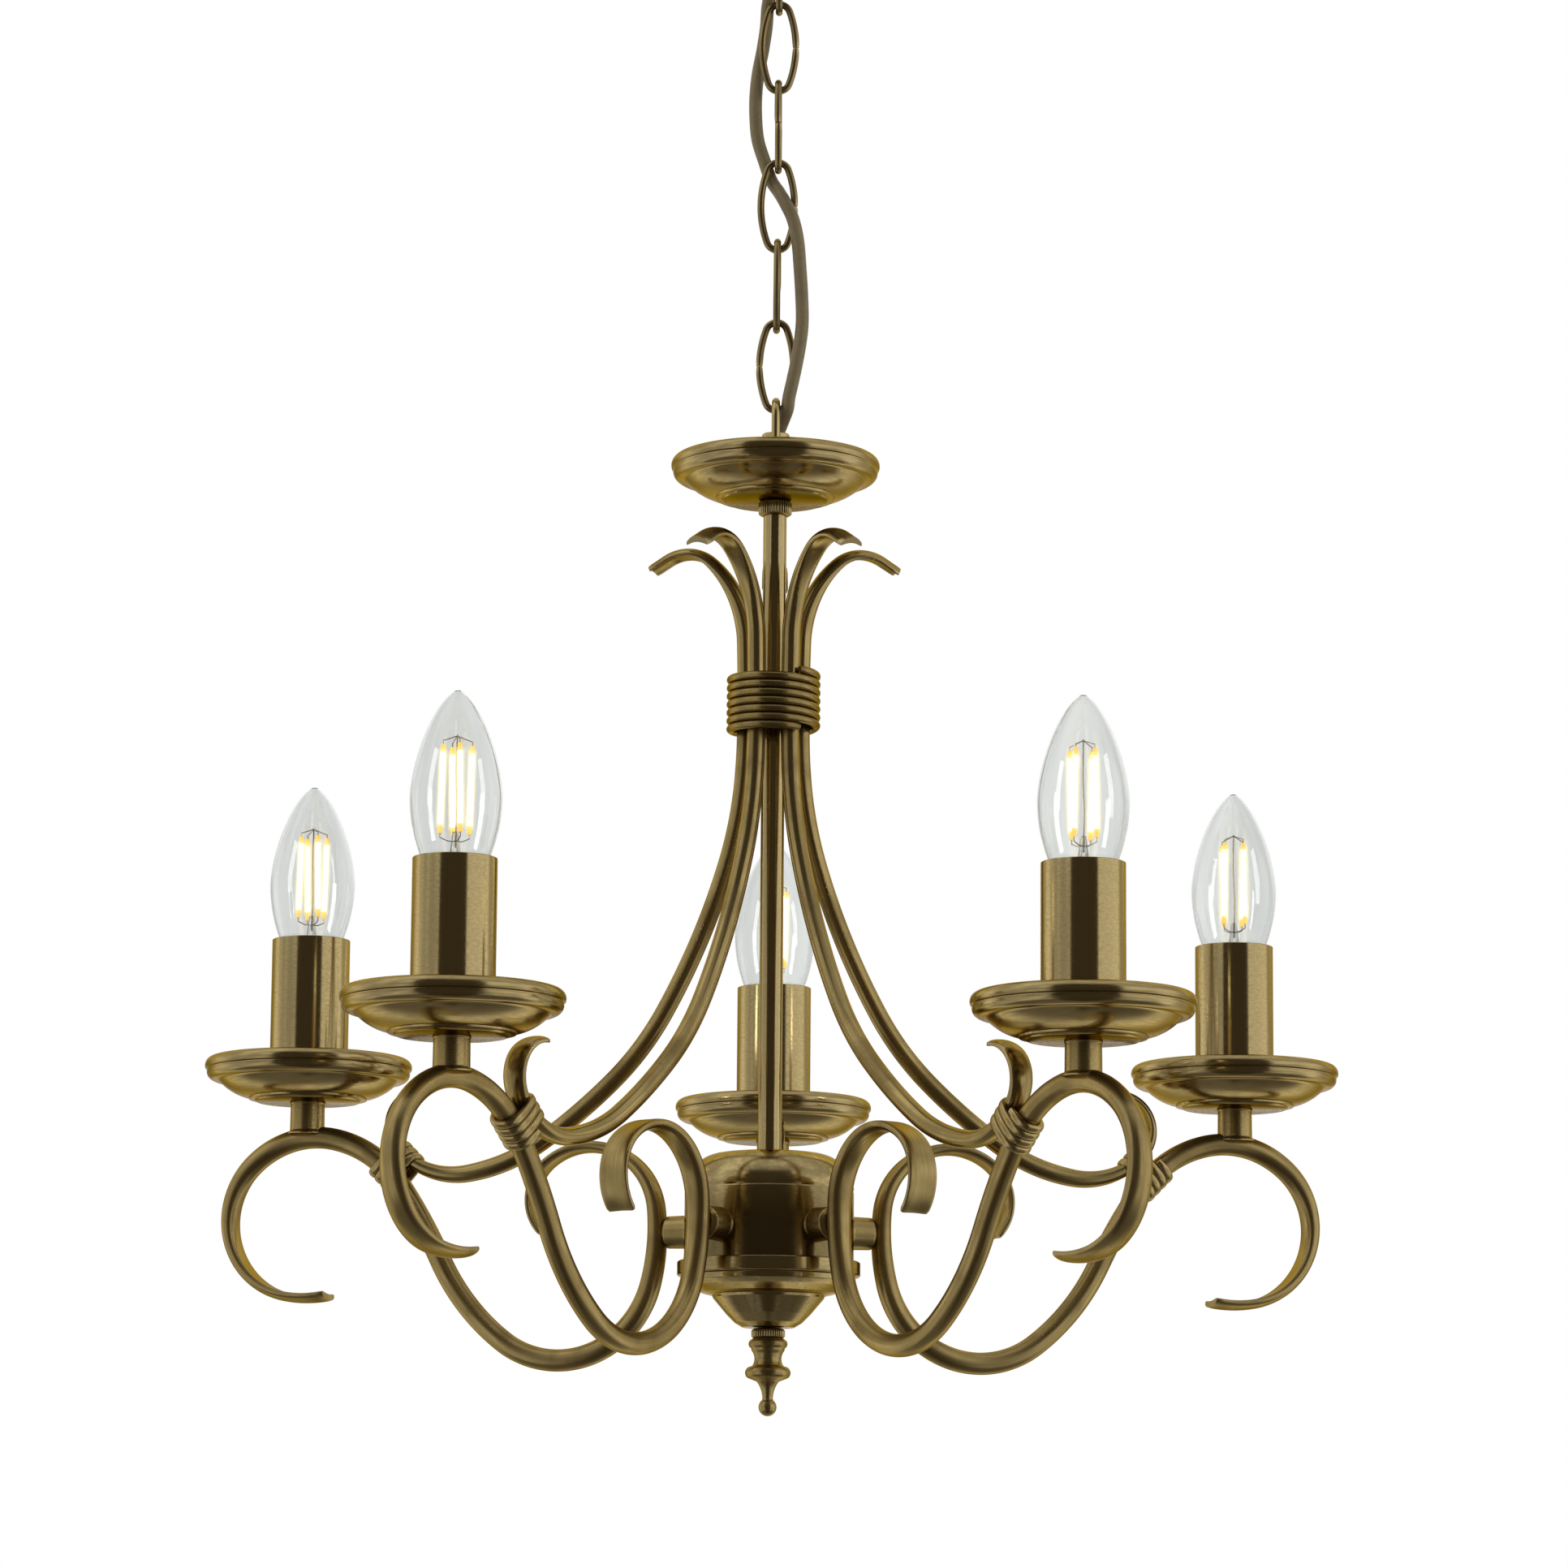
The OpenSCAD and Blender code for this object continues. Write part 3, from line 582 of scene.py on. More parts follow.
def make_chain():
    """Links bent from round wire, each split in one side, where the wire's two ends pass a little."""
    passing = 0.35
    for k, turn in enumerate(LINK_TURNS):
        path = link_path(1.6)
        rings = []
        for i, (x, z, heading, _) in enumerate(path):
            h = math.radians(heading)
            shift = passing * (i / len(path) - 0.5)
            tip = min(i, len(path) - 1 - i)
            r = LINK_WIRE_R * (0.86 if tip == 0 else 0.97 if tip == 1 else 1.0)
            rings.append([(x + r * out * math.sin(h), r * over + shift, z - r * out * math.cos(h))
                          for out, over in circle(18)])
        points, faces = skin(rings)
        make_piece("chain_link_%d" % k, points, faces, "chain", "chain_%d" % k, "link_%d" % k,
                   at=(0, 0, CHAIN_TOP - LINK_PITCH * k - LINK_L / 2), turn=turn)


def make_shackle():
    """Bow of thicker wire: an arch whose two feet turn inwards to the pivot in the stub."""
    r, wire, bend = 7.6, 1.7, 2.2
    pivot = round(PIVOTS[-1] / MM, 3)
    arch = box_mm("shackle")[1].z - wire - r
    path = [Vector((0, 3.6, pivot))]
    path += [Vector((0, r - bend + bend * math.sin(a), pivot + bend - bend * math.cos(a)))
             for a in (math.radians(15 * i) for i in range(7))]
    path += [Vector((0, r, mix(pivot + bend, arch, i / 4))) for i in (1, 2, 3)]
    path += [Vector((0, r * math.cos(a), arch + r * math.sin(a)))
             for a in (math.radians(7.5 * i) for i in range(25))]
    path += [Vector((p.x, -p.y, p.z)) for p in reversed(path[:11])]
    points, faces = skin(tube_rings(path, wire, 20, Vector((1, 0, 0))))
    make_piece("bow_wire", points, faces, "bow", "bow", "shackle")


def make_hook():
    """Hook with an almost closed eye and a threaded shank, under the ceiling."""
    hook_z, hook_r, wire = -33.2, 7.5, 2.0
    eye = [Vector((hook_r * math.cos(a), 0, hook_z + hook_r * math.sin(a)))
           for a in (math.radians(68 + 6 * i) for i in range(57))]
    parts = [skin(tube_rings(eye, wire, 20))]
    shank = [(0, -24.5), (2.1, -24.2)]
    for i in range(12):
        shank += [(2.5, -22.6 + 1.8 * i), (2.2, -21.7 + 1.8 * i)]
    parts.append(turned(shank + [(2.2, -0.3), (0, -0.3)], 40))
    points, faces = joined(parts)
    make_piece("ceiling_hook_eye", points, faces, "bow", "ceiling", "ceiling_hook")
    nut = [(0, -6.5), (3.9, -6.5), (4.5, -6.1), (4.5, -2.5), (0, -2.5)]
    points, faces = turned(nut, 6)
    make_piece("ceiling_hook_nut", points, faces, "steel", "ceiling", slot="zinc_steel", sharp=20)


# ---------------------------------------------------------------- forged arms and stays

# an arm from its outer scroll inwards, and a stay from its wrap up; bends are (arc length, turn in degrees)
ARM_START = (190, -603, -10)
ARM_BENDS = [(19.4, 22), (34.2, 62), (35.8, 64), (37.5, 54.5), (36.6, 42.5), (35.6, 8.8),
             (43.8, -26.7), (79.5, -113), (30, -20.3), (26.8, -52.4), (34.3, -69.9), (32.3, -95.8)]
STAY_START = (53, -307.5, 150)
STAY_BENDS = [(7.5, 0), (20.7, 73), (38.1, 45.3), (39.3, 2.4), (18.3, 4.5), (34.5, 12.1), (65.4, 12.9),
              (34.2, 16.6), (39.4, 9.7), (34.5, 25.5), (32.8, 53.7), (35, 137.3)]


def forged(start, bends, size, leaf_w, leaf_t, flats, curl, twists, sides=44, gap=1.7):
    """A bent round bar whose ends are hammered into flat leaves, each a shallow channel.

    start is (radius, height, heading). flats, curl and twists have one value for each end.
    """
    path = walk(start, bends, gap, 4)
    length = path[-1][3]
    rings = []
    for r, z, heading, s in path:
        near = (s / flats[0], (length - s) / flats[1])
        round_share = min(ease(near[0]), ease(near[1]))
        flat = 1 - round_share
        tip = min(s, length - s)
        blunt = min(1.0, 0.93 + 0.07 * tip / 1.2)
        half_w = mix(leaf_w / 2, size / 2, round_share) * blunt
        half_t = mix(leaf_t / 2, size / 2, round_share) * blunt
        bow = (curl[0] if near[0] < near[1] else curl[1]) * flat
        twist = math.radians(twists[0] * (1 - ease(s / 45)) + twists[1] * (1 - ease((length - s) / 40)))
        h = math.radians(heading)
        ring = []
        for j in range(sides):
            a = -math.tau * j / sides
            across, thick = math.sin(a), math.cos(a)
            w = half_w * rounded_wave(across, mix(1.0, 0.72, flat))
            t = half_t * rounded_wave(thick, mix(1.0, 0.60, flat))
            t += bow * ((w / half_w) ** 2 - 0.4)
            w, t = w * math.cos(twist) - t * math.sin(twist), w * math.sin(twist) + t * math.cos(twist)
            ring.append((r - t * math.sin(h), w, z + t * math.cos(h)))
        rings.append(ring)
    return skin(rings)


def make_arms():
    for k, angle in enumerate(ARM_ANGLES):
        part = forged(ARM_START, ARM_BENDS, 9.0, 13.4, 2.9, (105, 150), (1.2, 0.8), (6 - 3 * k, 0))
        make_piece("arm_bar_%d" % (k + 1), *part, "arm", "chandelier", "arm_%d" % (k + 1), turn=angle,
                   sharp=60)


def make_stays():
    twists = [6, 0, -8, -12, -6]
    for k, angle in enumerate(ARM_ANGLES):
        part = forged(STAY_START, STAY_BENDS, 7.5, 11.0, 2.5, (60, 80), (1.9, 1.0), (twists[k], 0), 36)
        make_piece("stay_rod_%d" % (k + 1), *part, "stay", "chandelier", "stays", turn=angle,
                   sharp=60)


# ---------------------------------------------------------------- wire bindings


WRAP_TURNS, WRAP_PITCH = 3.5, 3.55
WRAP_START = -6.2
WRAP_HALF_W, WRAP_HALF_H = 6.2, 9.2
WRAP_STRIP_HALF_W, WRAP_STRIP_HALF_T = 1.78, 1.2
WRAP_AT, WRAP_SLANT = (LAMP_R - 40.5, 0, -550.7), -45


def make_wraps():
    """Turns of flattened wire round each arm and stay, about a slanted axis."""
    steps = 60
    count = int(WRAP_TURNS * steps)
    for k, angle in enumerate(ARM_ANGLES):
        rings = []
        for i in range(count + 1):
            a = math.radians(90 + 360 * i / steps)
            c, s = math.cos(a), math.sin(a)
            e = (abs(c) ** 2.6 + abs(s) ** 2.6) ** (-1 / 2.6)
            along = WRAP_START + WRAP_PITCH * i / steps
            end = min(i, count - i) / 3
            small = min(1.0, 0.75 + 0.25 * end)
            ring = []
            for over, side in circle(16):
                wide = WRAP_STRIP_HALF_W * small * rounded_wave(side, 0.75)
                thick = WRAP_STRIP_HALF_T * small * rounded_wave(over, 0.8)
                ring.append((along + wide, (WRAP_HALF_W + thick) * s * e, (WRAP_HALF_H + thick) * c * e))
            rings.append(ring)
        slant = Matrix.Translation(WRAP_AT) @ Matrix.Rotation(math.radians(WRAP_SLANT), 4, "Y")
        points, faces = placed(skin(rings), slant)
        make_piece("wrap_wire_%d" % (k + 1), points, faces, "wire", "chandelier", "wraps", turn=angle,
                   sharp=50)


def make_coil():
    """Seven close turns of wire round the five stays; the wire is a little thinner at its two ends."""
    steps, turns, wire_r, coil_r, gap = 90, 7, 1.675, 17.425, 0.03
    top = box_mm("binding_coil")[1].z
    rings = []
    for i in range(turns * steps + 1):
        a = math.radians(-53 + 360 * i / steps)
        z = top - wire_r - (2 * wire_r + gap) * i / steps
        end = min(i, turns * steps - i)
        r = wire_r * min(1.0, 0.8 + 0.1 * end)
        rings.append([((coil_r + r * out) * math.cos(a), (coil_r + r * out) * math.sin(a), z + r * up)
                      for out, up in circle(16)])
    points, faces = skin(rings)
    make_piece("coil_wire", points, faces, "wire", "chandelier", "binding_coil")


# ---------------------------------------------------------------- turned and pressed metal


def pan_outline(r, hole):
    """A stepped dish pressed from sheet: two rolled bands, a bowl, then two shallow rings round the hole."""
    out = arc((r - 3.4, -3.3), 3.4, 78, -20, 10) + [(r - 1.0, -4.9), (r - 1.1, -5.2)]
    out += arc((r - 4.2, -5.9), 3.4, 10, -50, 8) + [(r - 2.6, -8.9), (r - 3.3, -9.2), (r - 5.2, -9.2)]
    out += arc((r - 22.2, 5.3), 22, -41.8, -79.7, 14)
    out += [(r - 18.5, -17.0), (r - 20.7, -17.2), (r - 21.2, -PAN_H + 0.2), (r - 21.6, -PAN_H),
            (hole, -PAN_H), (hole, SHEET - PAN_H), (r - 21.4, SHEET - PAN_H), (r - 20.6, -16.4)]
    out += arc((r - 22.2, 5.3), 22 - SHEET, -79.7, -43, 14)
    out += [(r - 4.4, -8.2), (r - 3, -7.6), (r - 2.1, -5.6)]
    out += arc((r - 3.4, -3.3), 3.4 - SHEET, -20, 78, 10)
    return out


def make_pans():
    """Five drip pans, and the bowl at the top, which has the same outline round a wider tube."""
    pan = turned(pan_outline(PAN_R, 4.9), 128)
    for k in range(ARM_COUNT):
        make_piece("drip_pan_%d" % (k + 1), *pan, "pan", "chandelier", "pans", at=lamp_place(k, PAN_TOP),
                   sharp=32)
    make_piece("bowl_top", *turned(pan_outline(PAN_R, COLUMN_R + 0.05), 128), "pan", "chandelier", "top_bowl",
               at=(0, 0, BOWL_TOP), sharp=32)


def make_lamps():
    """Sleeve, lampholder, stem and the threaded tube that clamps them, for each lamp."""
    length = SLEEVE_TOP - SLEEVE_BOTTOM
    sleeve = turned(rounded([(SLEEVE_R, 0, 0.25), (SLEEVE_R, length, 0.4), (SLEEVE_R - 0.9, length, 0.35),
                             (SLEEVE_R - 0.9, 0, 0.2)]), 128)
    holder = turned(rounded([(4.9, 0), (9, 0, 1), (9, 12, 1.5), (13, 18, 2), (13, 53.8, 1.2),
                             (10.2, 53.8, 0.8), (7.4, 52, 1), (7.4, 31, 0.5), (2, 31, 0.5), (2, 7.2),
                             (4.9, 7.2)]), 64)
    stem_top = PAN_TOP - PAN_H
    stem = turned(rounded([(0, -13.4), (8.3, -13.4, 0.5), (7.1, -11.6, 1.5), (7.0, -1.0, 0.3),
                           (7.3, -0.7, 0.2), (7.3, -0.02, 0.2), (0, -0.02)]), 64)
    nipple = [(0, -6)]
    for i in range(9):
        nipple += [(4.5, -5.8 + 1.5 * i), (4.85, -5.05 + 1.5 * i)]
    nipple = turned(nipple + [(4.5, 7.8), (0, 7.8)], 48)
    for k in range(ARM_COUNT):
        n = k + 1
        make_piece("candle_sleeve_%d" % n, *sleeve, "sleeve", "chandelier", "sleeves",
                   at=lamp_place(k, SLEEVE_BOTTOM))
        make_piece("lampholder_%d" % n, *holder, "holder", "chandelier", "lampholders",
                   at=lamp_place(k, SLEEVE_BOTTOM), slot="holder_body")
        make_piece("stem_%d" % n, *stem, "turned", "chandelier", "stems", at=lamp_place(k, stem_top))
        make_piece("nipple_%d" % n, *nipple, "steel", "chandelier", "nipples", at=lamp_place(k, stem_top),
                   slot="zinc_steel")


def knurled(radius, height, ridges):
    """A round nut from height down to 0 whose edge has straight ridges."""
    groove = 0.42
    rows = [(0, 0, 0.0), (radius - 1.2, 0, 0.0), (radius - 0.35, 0.5, 0.3), (radius, 0.9, 1.0),
            (radius, height - 0.9, 1.0), (radius - 0.35, height - 0.5, 0.3), (radius - 1.0, height, 0.0),
            (0, height, 0.0)]
    points, faces = turned([(r, z) for r, z, _ in rows], ridges * 6)
    cut = []
    for x, y, z in points:
        r = math.hypot(x, y)
        depth = next((share for row_r, row_z, share in rows
                      if abs(row_r - r) < 1e-4 and abs(row_z - z) < 1e-4), 0.0)
        wave = 0.5 - 0.5 * math.cos(math.atan2(y, x) * ridges)
        share = 1 - groove * depth * wave ** 2 / r if r > 1e-6 else 1.0
        cut.append((x * share, y * share, z))
    return cut, faces


def make_stub_and_column():
    """Stub, upper nut, column and the collar behind the coil."""
    foot = BOWL_TOP - PAN_H + SHEET
    tall, bore = box_mm("top_stub")[1].z - foot, 4
    stub = rounded([(0, 0), (5.6, 0, 0.2), (5.6, tall, 2.0), (4.0, tall, 0.3), (3.9, tall - bore, 0.2),
                    (0, tall - bore)], 6)
    make_piece("stub_body", *turned(stub, 64), "bow", "chandelier", "top_stub", at=(0, 0, foot))
    low, high = box_mm("upper_nut")
    make_piece("nut_upper", *knurled(6.8, high.z - low.z, 36), "turned", "chandelier", "upper_nut",
               at=(0, 0, low.z), sharp=50)
    length, bore_r = COLUMN_TOP - COLUMN_BOTTOM, COLUMN_R - 1
    tube = rounded([(COLUMN_R, 0, 0.2), (COLUMN_R, length, 0.2), (bore_r, length, 0.1), (bore_r, 0, 0.1)])
    make_piece("column_tube", *turned(tube, 64), "sleeve", "chandelier", "column", at=(0, 0, COLUMN_BOTTOM))
    low, high = box_mm("binding_collar")
    collar = rounded([(COLUMN_R, 0), (high.x, 0, 0.8), (high.x, high.z - low.z, 0.8),
                      (COLUMN_R, high.z - low.z)])
    make_piece("collar_ring", *turned(collar, 64), "turned", "chandelier", "binding_collar", at=(0, 0, low.z))


def make_body():
    """Drum with a bead round its shoulder, the column's foot ring, the nut inside and the threaded rod."""
    tall, shoulder_r, wall = BODY_TOP - BODY_BOTTOM, 15, 1.2
    centre = (BODY_R - shoulder_r, tall - shoulder_r)
    body = [(COLUMN_R, tall)] + arc(centre, shoulder_r, 88, 6, 14)
    body += [(BODY_R - 0.05, tall - 14.2), (BODY_R - 0.35, tall - 14.9), (BODY_R - 0.05, tall - 15.5),
             (BODY_R, 0), (BODY_R - wall, 0), (BODY_R - wall, tall - shoulder_r)]
    body += arc(centre, shoulder_r - wall, 6, 88, 14) + [(COLUMN_R, tall - wall)]
    make_piece("body_drum", *turned(body, 160), "body", "chandelier", "body_cup", at=(0, 0, BODY_BOTTOM),
               sharp=28)
    foot = turned(rounded([(COLUMN_R, 0), (6.4, 0, 0.3), (6.2, 0.8, 0.3), (COLUMN_R, 1.6)]), 64)
    make_piece("column_foot", *foot, "turned", "chandelier", at=(0, 0, BODY_TOP))
    low, high = box_mm("body_nut")
    nut = rounded([(COLUMN_R, 0), (8.5, 0, 0.8), (8.5, high.z - low.z, 0.8), (COLUMN_R, high.z - low.z)])
    make_piece("nut_inner", *turned(nut, 6), "steel", "chandelier", "body_nut", at=(0, 0, low.z), sharp=20,
               slot="zinc_steel")
    low, high = box_mm("centre_rod")
    length, thread = high.z - low.z, 1.2
    rod = [(0, 0), (2.5, 0.2)]
    for i in range(24):
        rod += [(2.65, 0.8 + thread * i), (2.9, 1.4 + thread * i)]
    rod += [(2.9, length - 8.5), (3.7, length - 8), (3.7, length), (0, length)]
    make_piece("rod_threaded", *turned(rod, 48), "steel", "chandelier", "centre_rod", at=(0, 0, low.z),
               slot="zinc_steel")


def make_cover():
    """Stepped bottom cover with a rolled rim, the nut under it and the turned finial."""
    r, b = COVER_R, BODY_BOTTOM
    outline = rounded([
        (r - 3, b - 0.3, 0.3), (r, b - 0.3, 0.7), (r, b - 5.9, 0.9), (r - 1.9, b - 6.5, 0.5),
        (r - 2.1, b - 8.6, 0.8), (r - 5, b - 10.5, 1.0), (r - 10, b - 12.7, 1.2), (22.6, b - 13.7, 0.5),
        (22.2, b - 14.8, 0.6), (16.8, b - 21.2, 3), (13.4, b - 24.6, 3), (10.4, b - 26.4, 1.5),
        (3.2, b - 26.5), (3.2, b - 25.3), (10.2, b - 25.1, 1), (12.8, b - 23.4, 2), (16, b - 20.2, 2),
        (21.2, b - 14.2, 0.5), (21.8, b - 12.6, 0.5), (r - 10.5, b - 11.4, 1), (r - 5.6, b - 9.2, 1),
        (r - 3.4, b - 7.8, 0.5), (r - 3.2, b - 5.4, 0.3)], 5)
    make_piece("cover_dish", *turned(outline, 160), "body", "cover", "bottom_cover", sharp=28)
    low, high = box_mm("lower_nut")
    make_piece("nut_lower", *knurled(6.75, high.z - low.z, 42), "turned", "finial_group", "lower_nut",
               at=(0, 0, low.z), sharp=50)
    knob = [(0, 0), (6.4, 0)] + arc((5.8, -2.1), 2, 66, -60, 8)
    knob += arc((10.4, -8), 5, 140, 215, 12) + arc((6.5, -13.6), 2.6, 60, -50, 10)
    knob += arc((13.6, -24), 11.5, 143, 179, 12) + arc((0, -27.2), 3.6, 50, -90, 18)
    make_piece("finial_knob", *turned(knob, 80), "turned", "finial_group", "finial",
               at=(0, 0, box_mm("finial")[1].z), sharp=38)


def make_bosses():
    """Short sockets lying on the drum's side, one for each arm."""
    reach, axis_z = 10.6, -580
    tube = turned(rounded([(0, -1.0), (7.3, -1.0, 0.3), (6.7, 0.9, 0.9), (6.5, reach - 1.2, 1.0),
                           (5.2, reach, 0.5), (0, reach)], 5), 64)
    lying = Matrix.Translation((BODY_R - 0.6, 0, axis_z)) @ Matrix.Rotation(math.radians(90), 4, "Y")
    for k, angle in enumerate(ARM_ANGLES):
        make_piece("boss_%d" % (k + 1), *placed(tube, lying), "turned", "chandelier", "bosses", turn=angle)


# ---------------------------------------------------------------- bulbs


GLASS_R, GLASS_WALL = 17.5, 0.55
GLASS_WIDEST_AT = 0.446
GLASS_NECK = 0.41


def glass_radius(t):
    """The candle bulb's radius at a share of its height: a full belly, then a long point."""
    if t < GLASS_WIDEST_AT:
        belly = math.sin(math.radians(90 * t / GLASS_WIDEST_AT)) ** 0.7
        return GLASS_R * (GLASS_NECK + (1 - GLASS_NECK) * belly)
    return GLASS_R * max(0.0, 1 - ((t - GLASS_WIDEST_AT) / (1 - GLASS_WIDEST_AT)) ** 1.6) ** 0.66


def candle_glass():
    """The glass as a closed shell with a wall."""
    steps, wall = 60, GLASS_WALL
    places = [(1 - math.cos(math.pi * i / steps)) / 2 for i in range(steps + 1)]
    outer = [(glass_radius(t), GLASS_H * t) for t in places]
    inner = [(max(0.0, r - wall), z) for r, z in outer if z < GLASS_H - 0.8 and r > wall]
    return turned(outer[:-1] + [(0, GLASS_H)] + [(0, GLASS_H - wall)] + list(reversed(inner)), 96)


def bar(a, b, radius, sides=12):
    """A straight round bar between two points with slightly rounded ends."""
    a, b = Vector(a), Vector(b)
    way = (b - a).normalized()
    side = way.orthogonal().normalized()
    other = way.cross(side)
    length = (b - a).length
    rings = []
    for s, r in ((0, 0.6), (0.2, 0.92), (0.5, 1), (length - 0.5, 1), (length - 0.2, 0.92), (length, 0.6)):
        rings.append([a + way * s + radius * r * (x * side + y * other) for x, y in circle(sides)])
    return skin(rings)


def wire_between(points, radius, sides=8):
    """A thin wire through a few points."""
    path = [Vector(p) for p in points]
    return skin(tube_rings(path, radius, sides, Vector((0.3, 0.2, 1)).normalized()))


FILAMENT_LOW, FILAMENT_HIGH = GLASS_H - 54.6, GLASS_H - 21.8
FILAMENT_REACH, FILAMENT_LEAN = 5.7, 0.35
FILAMENT_R, FILAMENT_END_R, GLOW_R = 1.05, 0.95, 1.9
LEAD_R, CENTRE_LEAD_R = 0.22, 0.3


def filaments(spin):
    """The lit sticks, their glow, their end caps and the wires of one bulb, as four lists of parts."""
    low, high = FILAMENT_LOW, FILAMENT_HIGH
    lit, glow, ends, leads = [], [], [], []
    hub_top, hub_low = Vector((0, 0, high + 4.0)), Vector((0, 0, low - 3.5))
    for i in range(4):
        a = math.radians(spin + 90 * i)
        lean = FILAMENT_LEAN * (1 if i % 2 else -1)
        x, y = FILAMENT_REACH * math.cos(a), FILAMENT_REACH * math.sin(a)
        foot, head = Vector((x - lean, y, low)), Vector((x + lean, y, high))
        span = head - foot
        lit.append(bar(foot + span * 0.08, head - span * 0.07, FILAMENT_R, 16))
        glow.append(bar(foot + span * 0.04, head - span * 0.03, GLOW_R, 20))
        ends.append(bar(foot - span * 0.02, foot + span * 0.085, FILAMENT_END_R))
        ends.append(bar(head - span * 0.075, head + span * 0.02, FILAMENT_END_R))
        over = head.lerp(hub_top, 0.45) + Vector((0, 0, 1.0))
        under = foot.lerp(hub_low, 0.5) - Vector((0, 0, 1.6))
        leads.append(wire_between([head, head + Vector((0, 0, 2.0)), over, hub_top], LEAD_R))
        leads.append(wire_between([foot, foot - Vector((0, 0, 2.2)), under, hub_low], LEAD_R))
    centre = [(0, 0, low - 6), (0.3, 0, mix(low, high, 0.3)), (-0.2, 0.1, mix(low, high, 0.7)),
              (0, 0, high + 4.4)]
    leads.append(wire_between(centre, CENTRE_LEAD_R))
    return lit, glow, ends, leads


def make_bulbs():
    """Five candle bulbs; each is turned a little further in its holder than the one before."""
    glass = candle_glass()
    cap_h = CAP_TOP - CAP_BASE
    cap = [(0, 0), (2.4, 0), (2.5, 0.8), (4.0, 1.0), (6.4, 2.9)]
    for i in range(6):
        z = 4.2 + 2.8 * i
        cap += [(6.45, z), (6.7, z + 0.5), (6.95, z + 1.2), (6.95, z + 1.6), (6.7, z + 2.3)]
    cap = turned(cap + [(6.5, 21.5), (6.5, cap_h - 0.5), (6.3, cap_h), (0, cap_h)], 64)
    stem = turned([(0, 0.4), (5.2, 0.4), (5.0, 3), (2.9, 8), (2.0, 13), (1.5, 17), (1.2, 19.5), (0, 20)], 40)
    for k in range(ARM_COUNT):
        body, n = "bulb_%d" % (k + 1), k + 1
        at = lamp_place(k, CAP_TOP)
        make_piece("bulb_clear_%d" % n, *glass, "glass", body, "bulb_glass_%d" % n, at=at, slot="clear_glass")
        make_piece("bulb_screw_%d" % n, *cap, "cap", body, "bulb_cap_%d" % n, at=lamp_place(k, CAP_BASE),
                   slot="cap_metal")
        lit, glow, ends, leads = filaments(-72 + 9 * k)
        make_piece("bulb_lit_%d" % n, *joined(lit), "lit", body, "filament_%d" % n, at=at,
                   slot="light_filament")
        make_piece("bulb_glow_%d" % n, *joined(glow), "halo", body, at=at, slot="light_filament")
        make_piece("bulb_ends_%d" % n, *joined(ends), "amber", body, at=at, slot="light_filament")
        make_piece("bulb_leads_%d" % n, *joined(leads), "lead", body, at=at, slot="cap_metal")
        make_piece("bulb_mount_%d" % n, *stem, "stem_glass", body, at=at, slot="clear_glass")


# ---------------------------------------------------------------- ceiling fitting


def make_ceiling():
    """Cup with a bead under its rim, two side screws and the cable's grip; the bracket is the CAD's own."""
    low, high = box_mm("ceiling_cup")
    r, h, wall = (high.x - low.x) / 2, -low.z, 1
    corner, corner_r, hole = (r - 9, -13), 9, 4.2
    outline = [(r, -0.5), (r, -1.6), (r - 0.35, -2.0), (r, -2.5), (r, -13)]
    outline += arc(corner, corner_r, -4, -72, 12)
    outline += [(r - 14, -h), (20, -h), (19.6, -h + 0.35), (19.2, -h), (hole, -h), (hole, -h + wall),
                (r - 14.5, -h + wall)]
    outline += arc(corner, corner_r - wall, -72, -4, 12) + [(r - wall, -13), (r - wall, -0.5)]
    make_piece("ceiling_shell", *turned(outline, 160), "body", "ceiling", "ceiling_cup", sharp=30)
    screw = turned([(0, 0), (1.5, 0), (1.5, 5.5), (3.0, 5.5), (3.0, 6.6), (2.6, 7.3), (1.9, 7.8), (0.9, 8.0),
                    (0.75, 7.4), (0, 7.2)], 40)
    parts = []
    for side in (-1, 1):
        lying = Matrix.Rotation(math.radians(side * 90), 4, "Y")
        parts.append(placed(screw, Matrix.Translation((side * (r - 5.5), 0, -7)) @ lying))
    make_piece("ceiling_screws", *joined(parts), "bow", "ceiling", "cup_screws")
    grip = rounded([(2.75, -3, 0.3), (6, -3, 0.8), (6, 0, 0.4), (4, 0), (4, 5.9, 0.5), (2.75, 5.9, 0.3)], 5)
    make_piece("cable_grip", *turned(grip, 64), "grip", "ceiling", "cord_grip",
               at=(FLEX_POINTS[0][0] / MM, 0, -h), slot="grip_plastic")
    bracket = frame["nodes"]["ceiling_bracket"]
    bracket.data.materials.clear()
    bracket.data.materials.append(MAT["steel"])


make_chain()
make_shackle()
make_hook()
make_arms()
make_stays()
make_wraps()
make_coil()
make_pans()
make_lamps()
make_stub_and_column()
make_body()
make_cover()
make_bosses()
make_bulbs()
make_ceiling()

# ---------------------------------------------------------------- floor and light

FLOOR_Z = -2.05


def make_floor():
    """A plain pale floor, well below the hanging lamp."""
    size, cells = 9.0, 12
    points = [(size * (i / cells - 0.5) / MM, size * (j / cells - 0.5) / MM, FLOOR_Z / MM)
              for j in range(cells + 1) for i in range(cells + 1)]
    row = cells + 1
    faces = [(j * row + i, j * row + i + 1, (j + 1) * row + i + 1, (j + 1) * row + i)
             for j in range(cells) for i in range(cells)]
    MAT["floor"] = plain_surface("pale_floor", rgb(0.86, 0.86, 0.85), 0.6, scale=40.0, bump=0.02, shade=0.98)
    floor = make_piece("floor", points, faces, "floor", None, slot=None)
    floor.visible_glossy = False


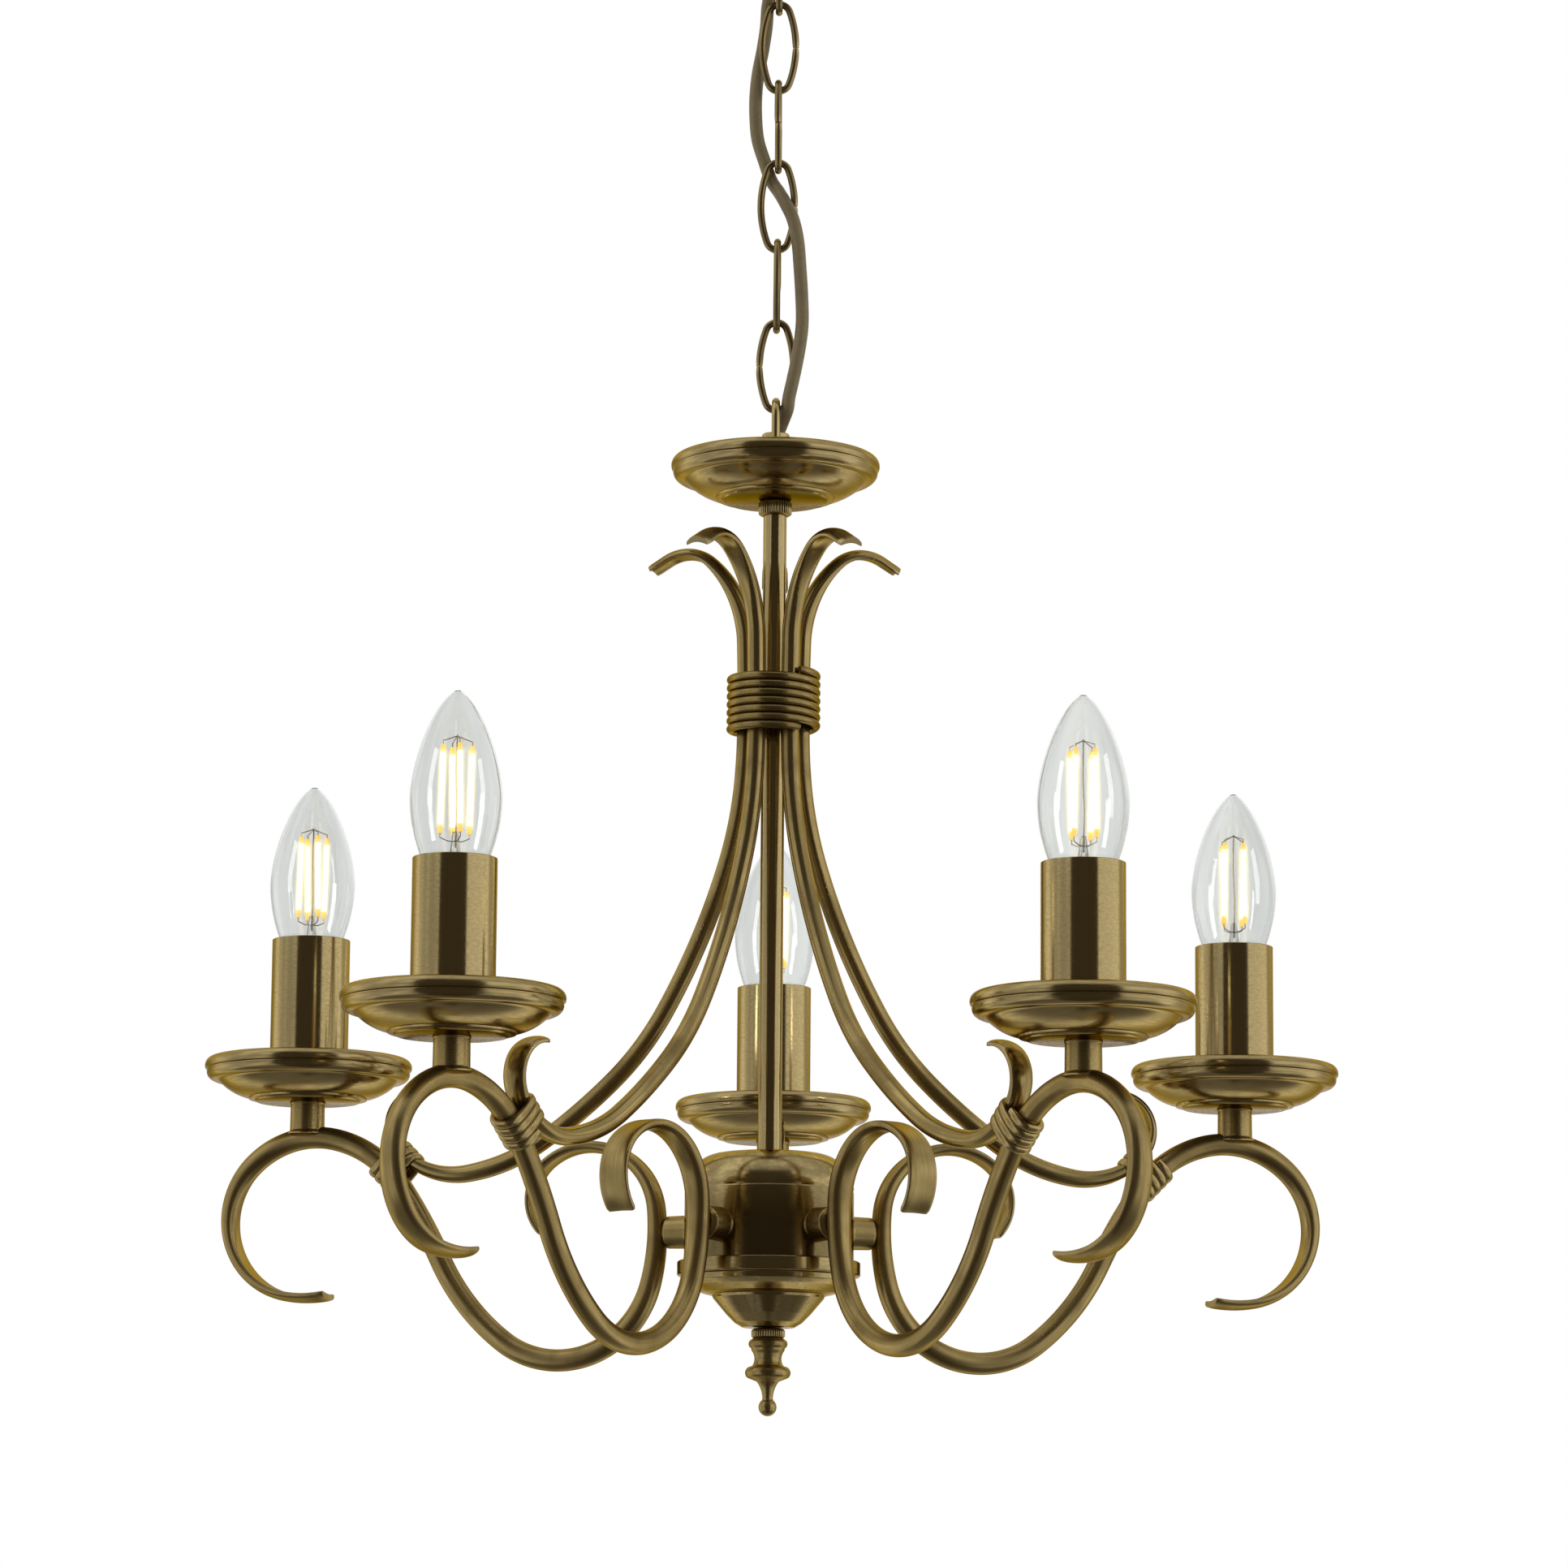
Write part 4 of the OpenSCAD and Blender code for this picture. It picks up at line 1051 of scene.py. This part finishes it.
def make_world():
    """White all round, with a dark part of the studio in front that only the metal's reflections show."""
    world = bpy.data.worlds.new("studio")
    bpy.context.scene.world = world
    world.use_nodes = True
    n = Nodes(world.node_tree)
    back = world.node_tree.nodes["Background"]
    way = n.add("ShaderNodeTexCoord").outputs["Generated"]
    parts = n.add("ShaderNodeSeparateXYZ", {0: way})
    x, y, z = parts.outputs["X"], parts.outputs["Y"], parts.outputs["Z"]
    flat = n.math("SQRT", n.math("ADD", n.math("MULTIPLY", x, x), n.math("MULTIPLY", y, y)))
    ahead = n.math("DIVIDE", n.math("MULTIPLY", y, -1.0), n.math("MAXIMUM", flat, 0.001))
    front = n.span(ahead, math.cos(math.radians(40)), math.cos(math.radians(35)))
    front = n.math("MULTIPLY", front, n.span(z, 0.86, 0.70))
    below = n.math("MULTIPLY", n.span(z, -0.50, -0.72), n.span(y, 0.70, 0.30))
    dark = n.math("MAXIMUM", front, n.math("MULTIPLY", below, 0.86))
    uneven = n.span(n.noise(way, 1.7, 2.0, 0.5), 0.36, 0.62, 0.50, 1.0)
    sides = n.math("MULTIPLY", n.span(y, -0.75, 0.9, 0.80, 1.06), uneven)
    blue = n.math("MULTIPLY", sides, 0.98)
    pale = n.add("ShaderNodeCombineColor", {"Red": sides, "Green": sides, "Blue": blue})
    seen = n.mix(dark, pale.outputs[0], rgb(0.050, 0.040, 0.028))
    glossy = n.add("ShaderNodeLightPath").outputs["Is Glossy Ray"]
    world.node_tree.links.new(n.mix(glossy, rgb(1.0, 1.0, 1.0), seen), back.inputs["Color"])
    back.inputs["Strength"].default_value = 1.0


def make_light(name, at, size, power):
    """A soft rectangular light that shines on the middle of the object."""
    data = bpy.data.lights.new(name, "AREA")
    data.shape = "RECTANGLE"
    data.size, data.size_y = size
    data.energy = power
    light = bpy.data.objects.new(name, data)
    light.location = at
    light.rotation_euler = (Vector((0, 0, -0.45)) - Vector(at)).to_track_quat("-Z", "Y").to_euler()
    light.visible_camera = False
    light.visible_glossy = False
    bpy.context.scene.collection.objects.link(light)


make_floor()
make_world()
make_light("softbox_left", (-1.9, -0.9, 0.2), (0.5, 1.3), 16)
make_light("softbox_right", (1.9, -0.7, 0.1), (0.5, 1.3), 14)
bpy.context.scene.view_settings.view_transform = "Standard"
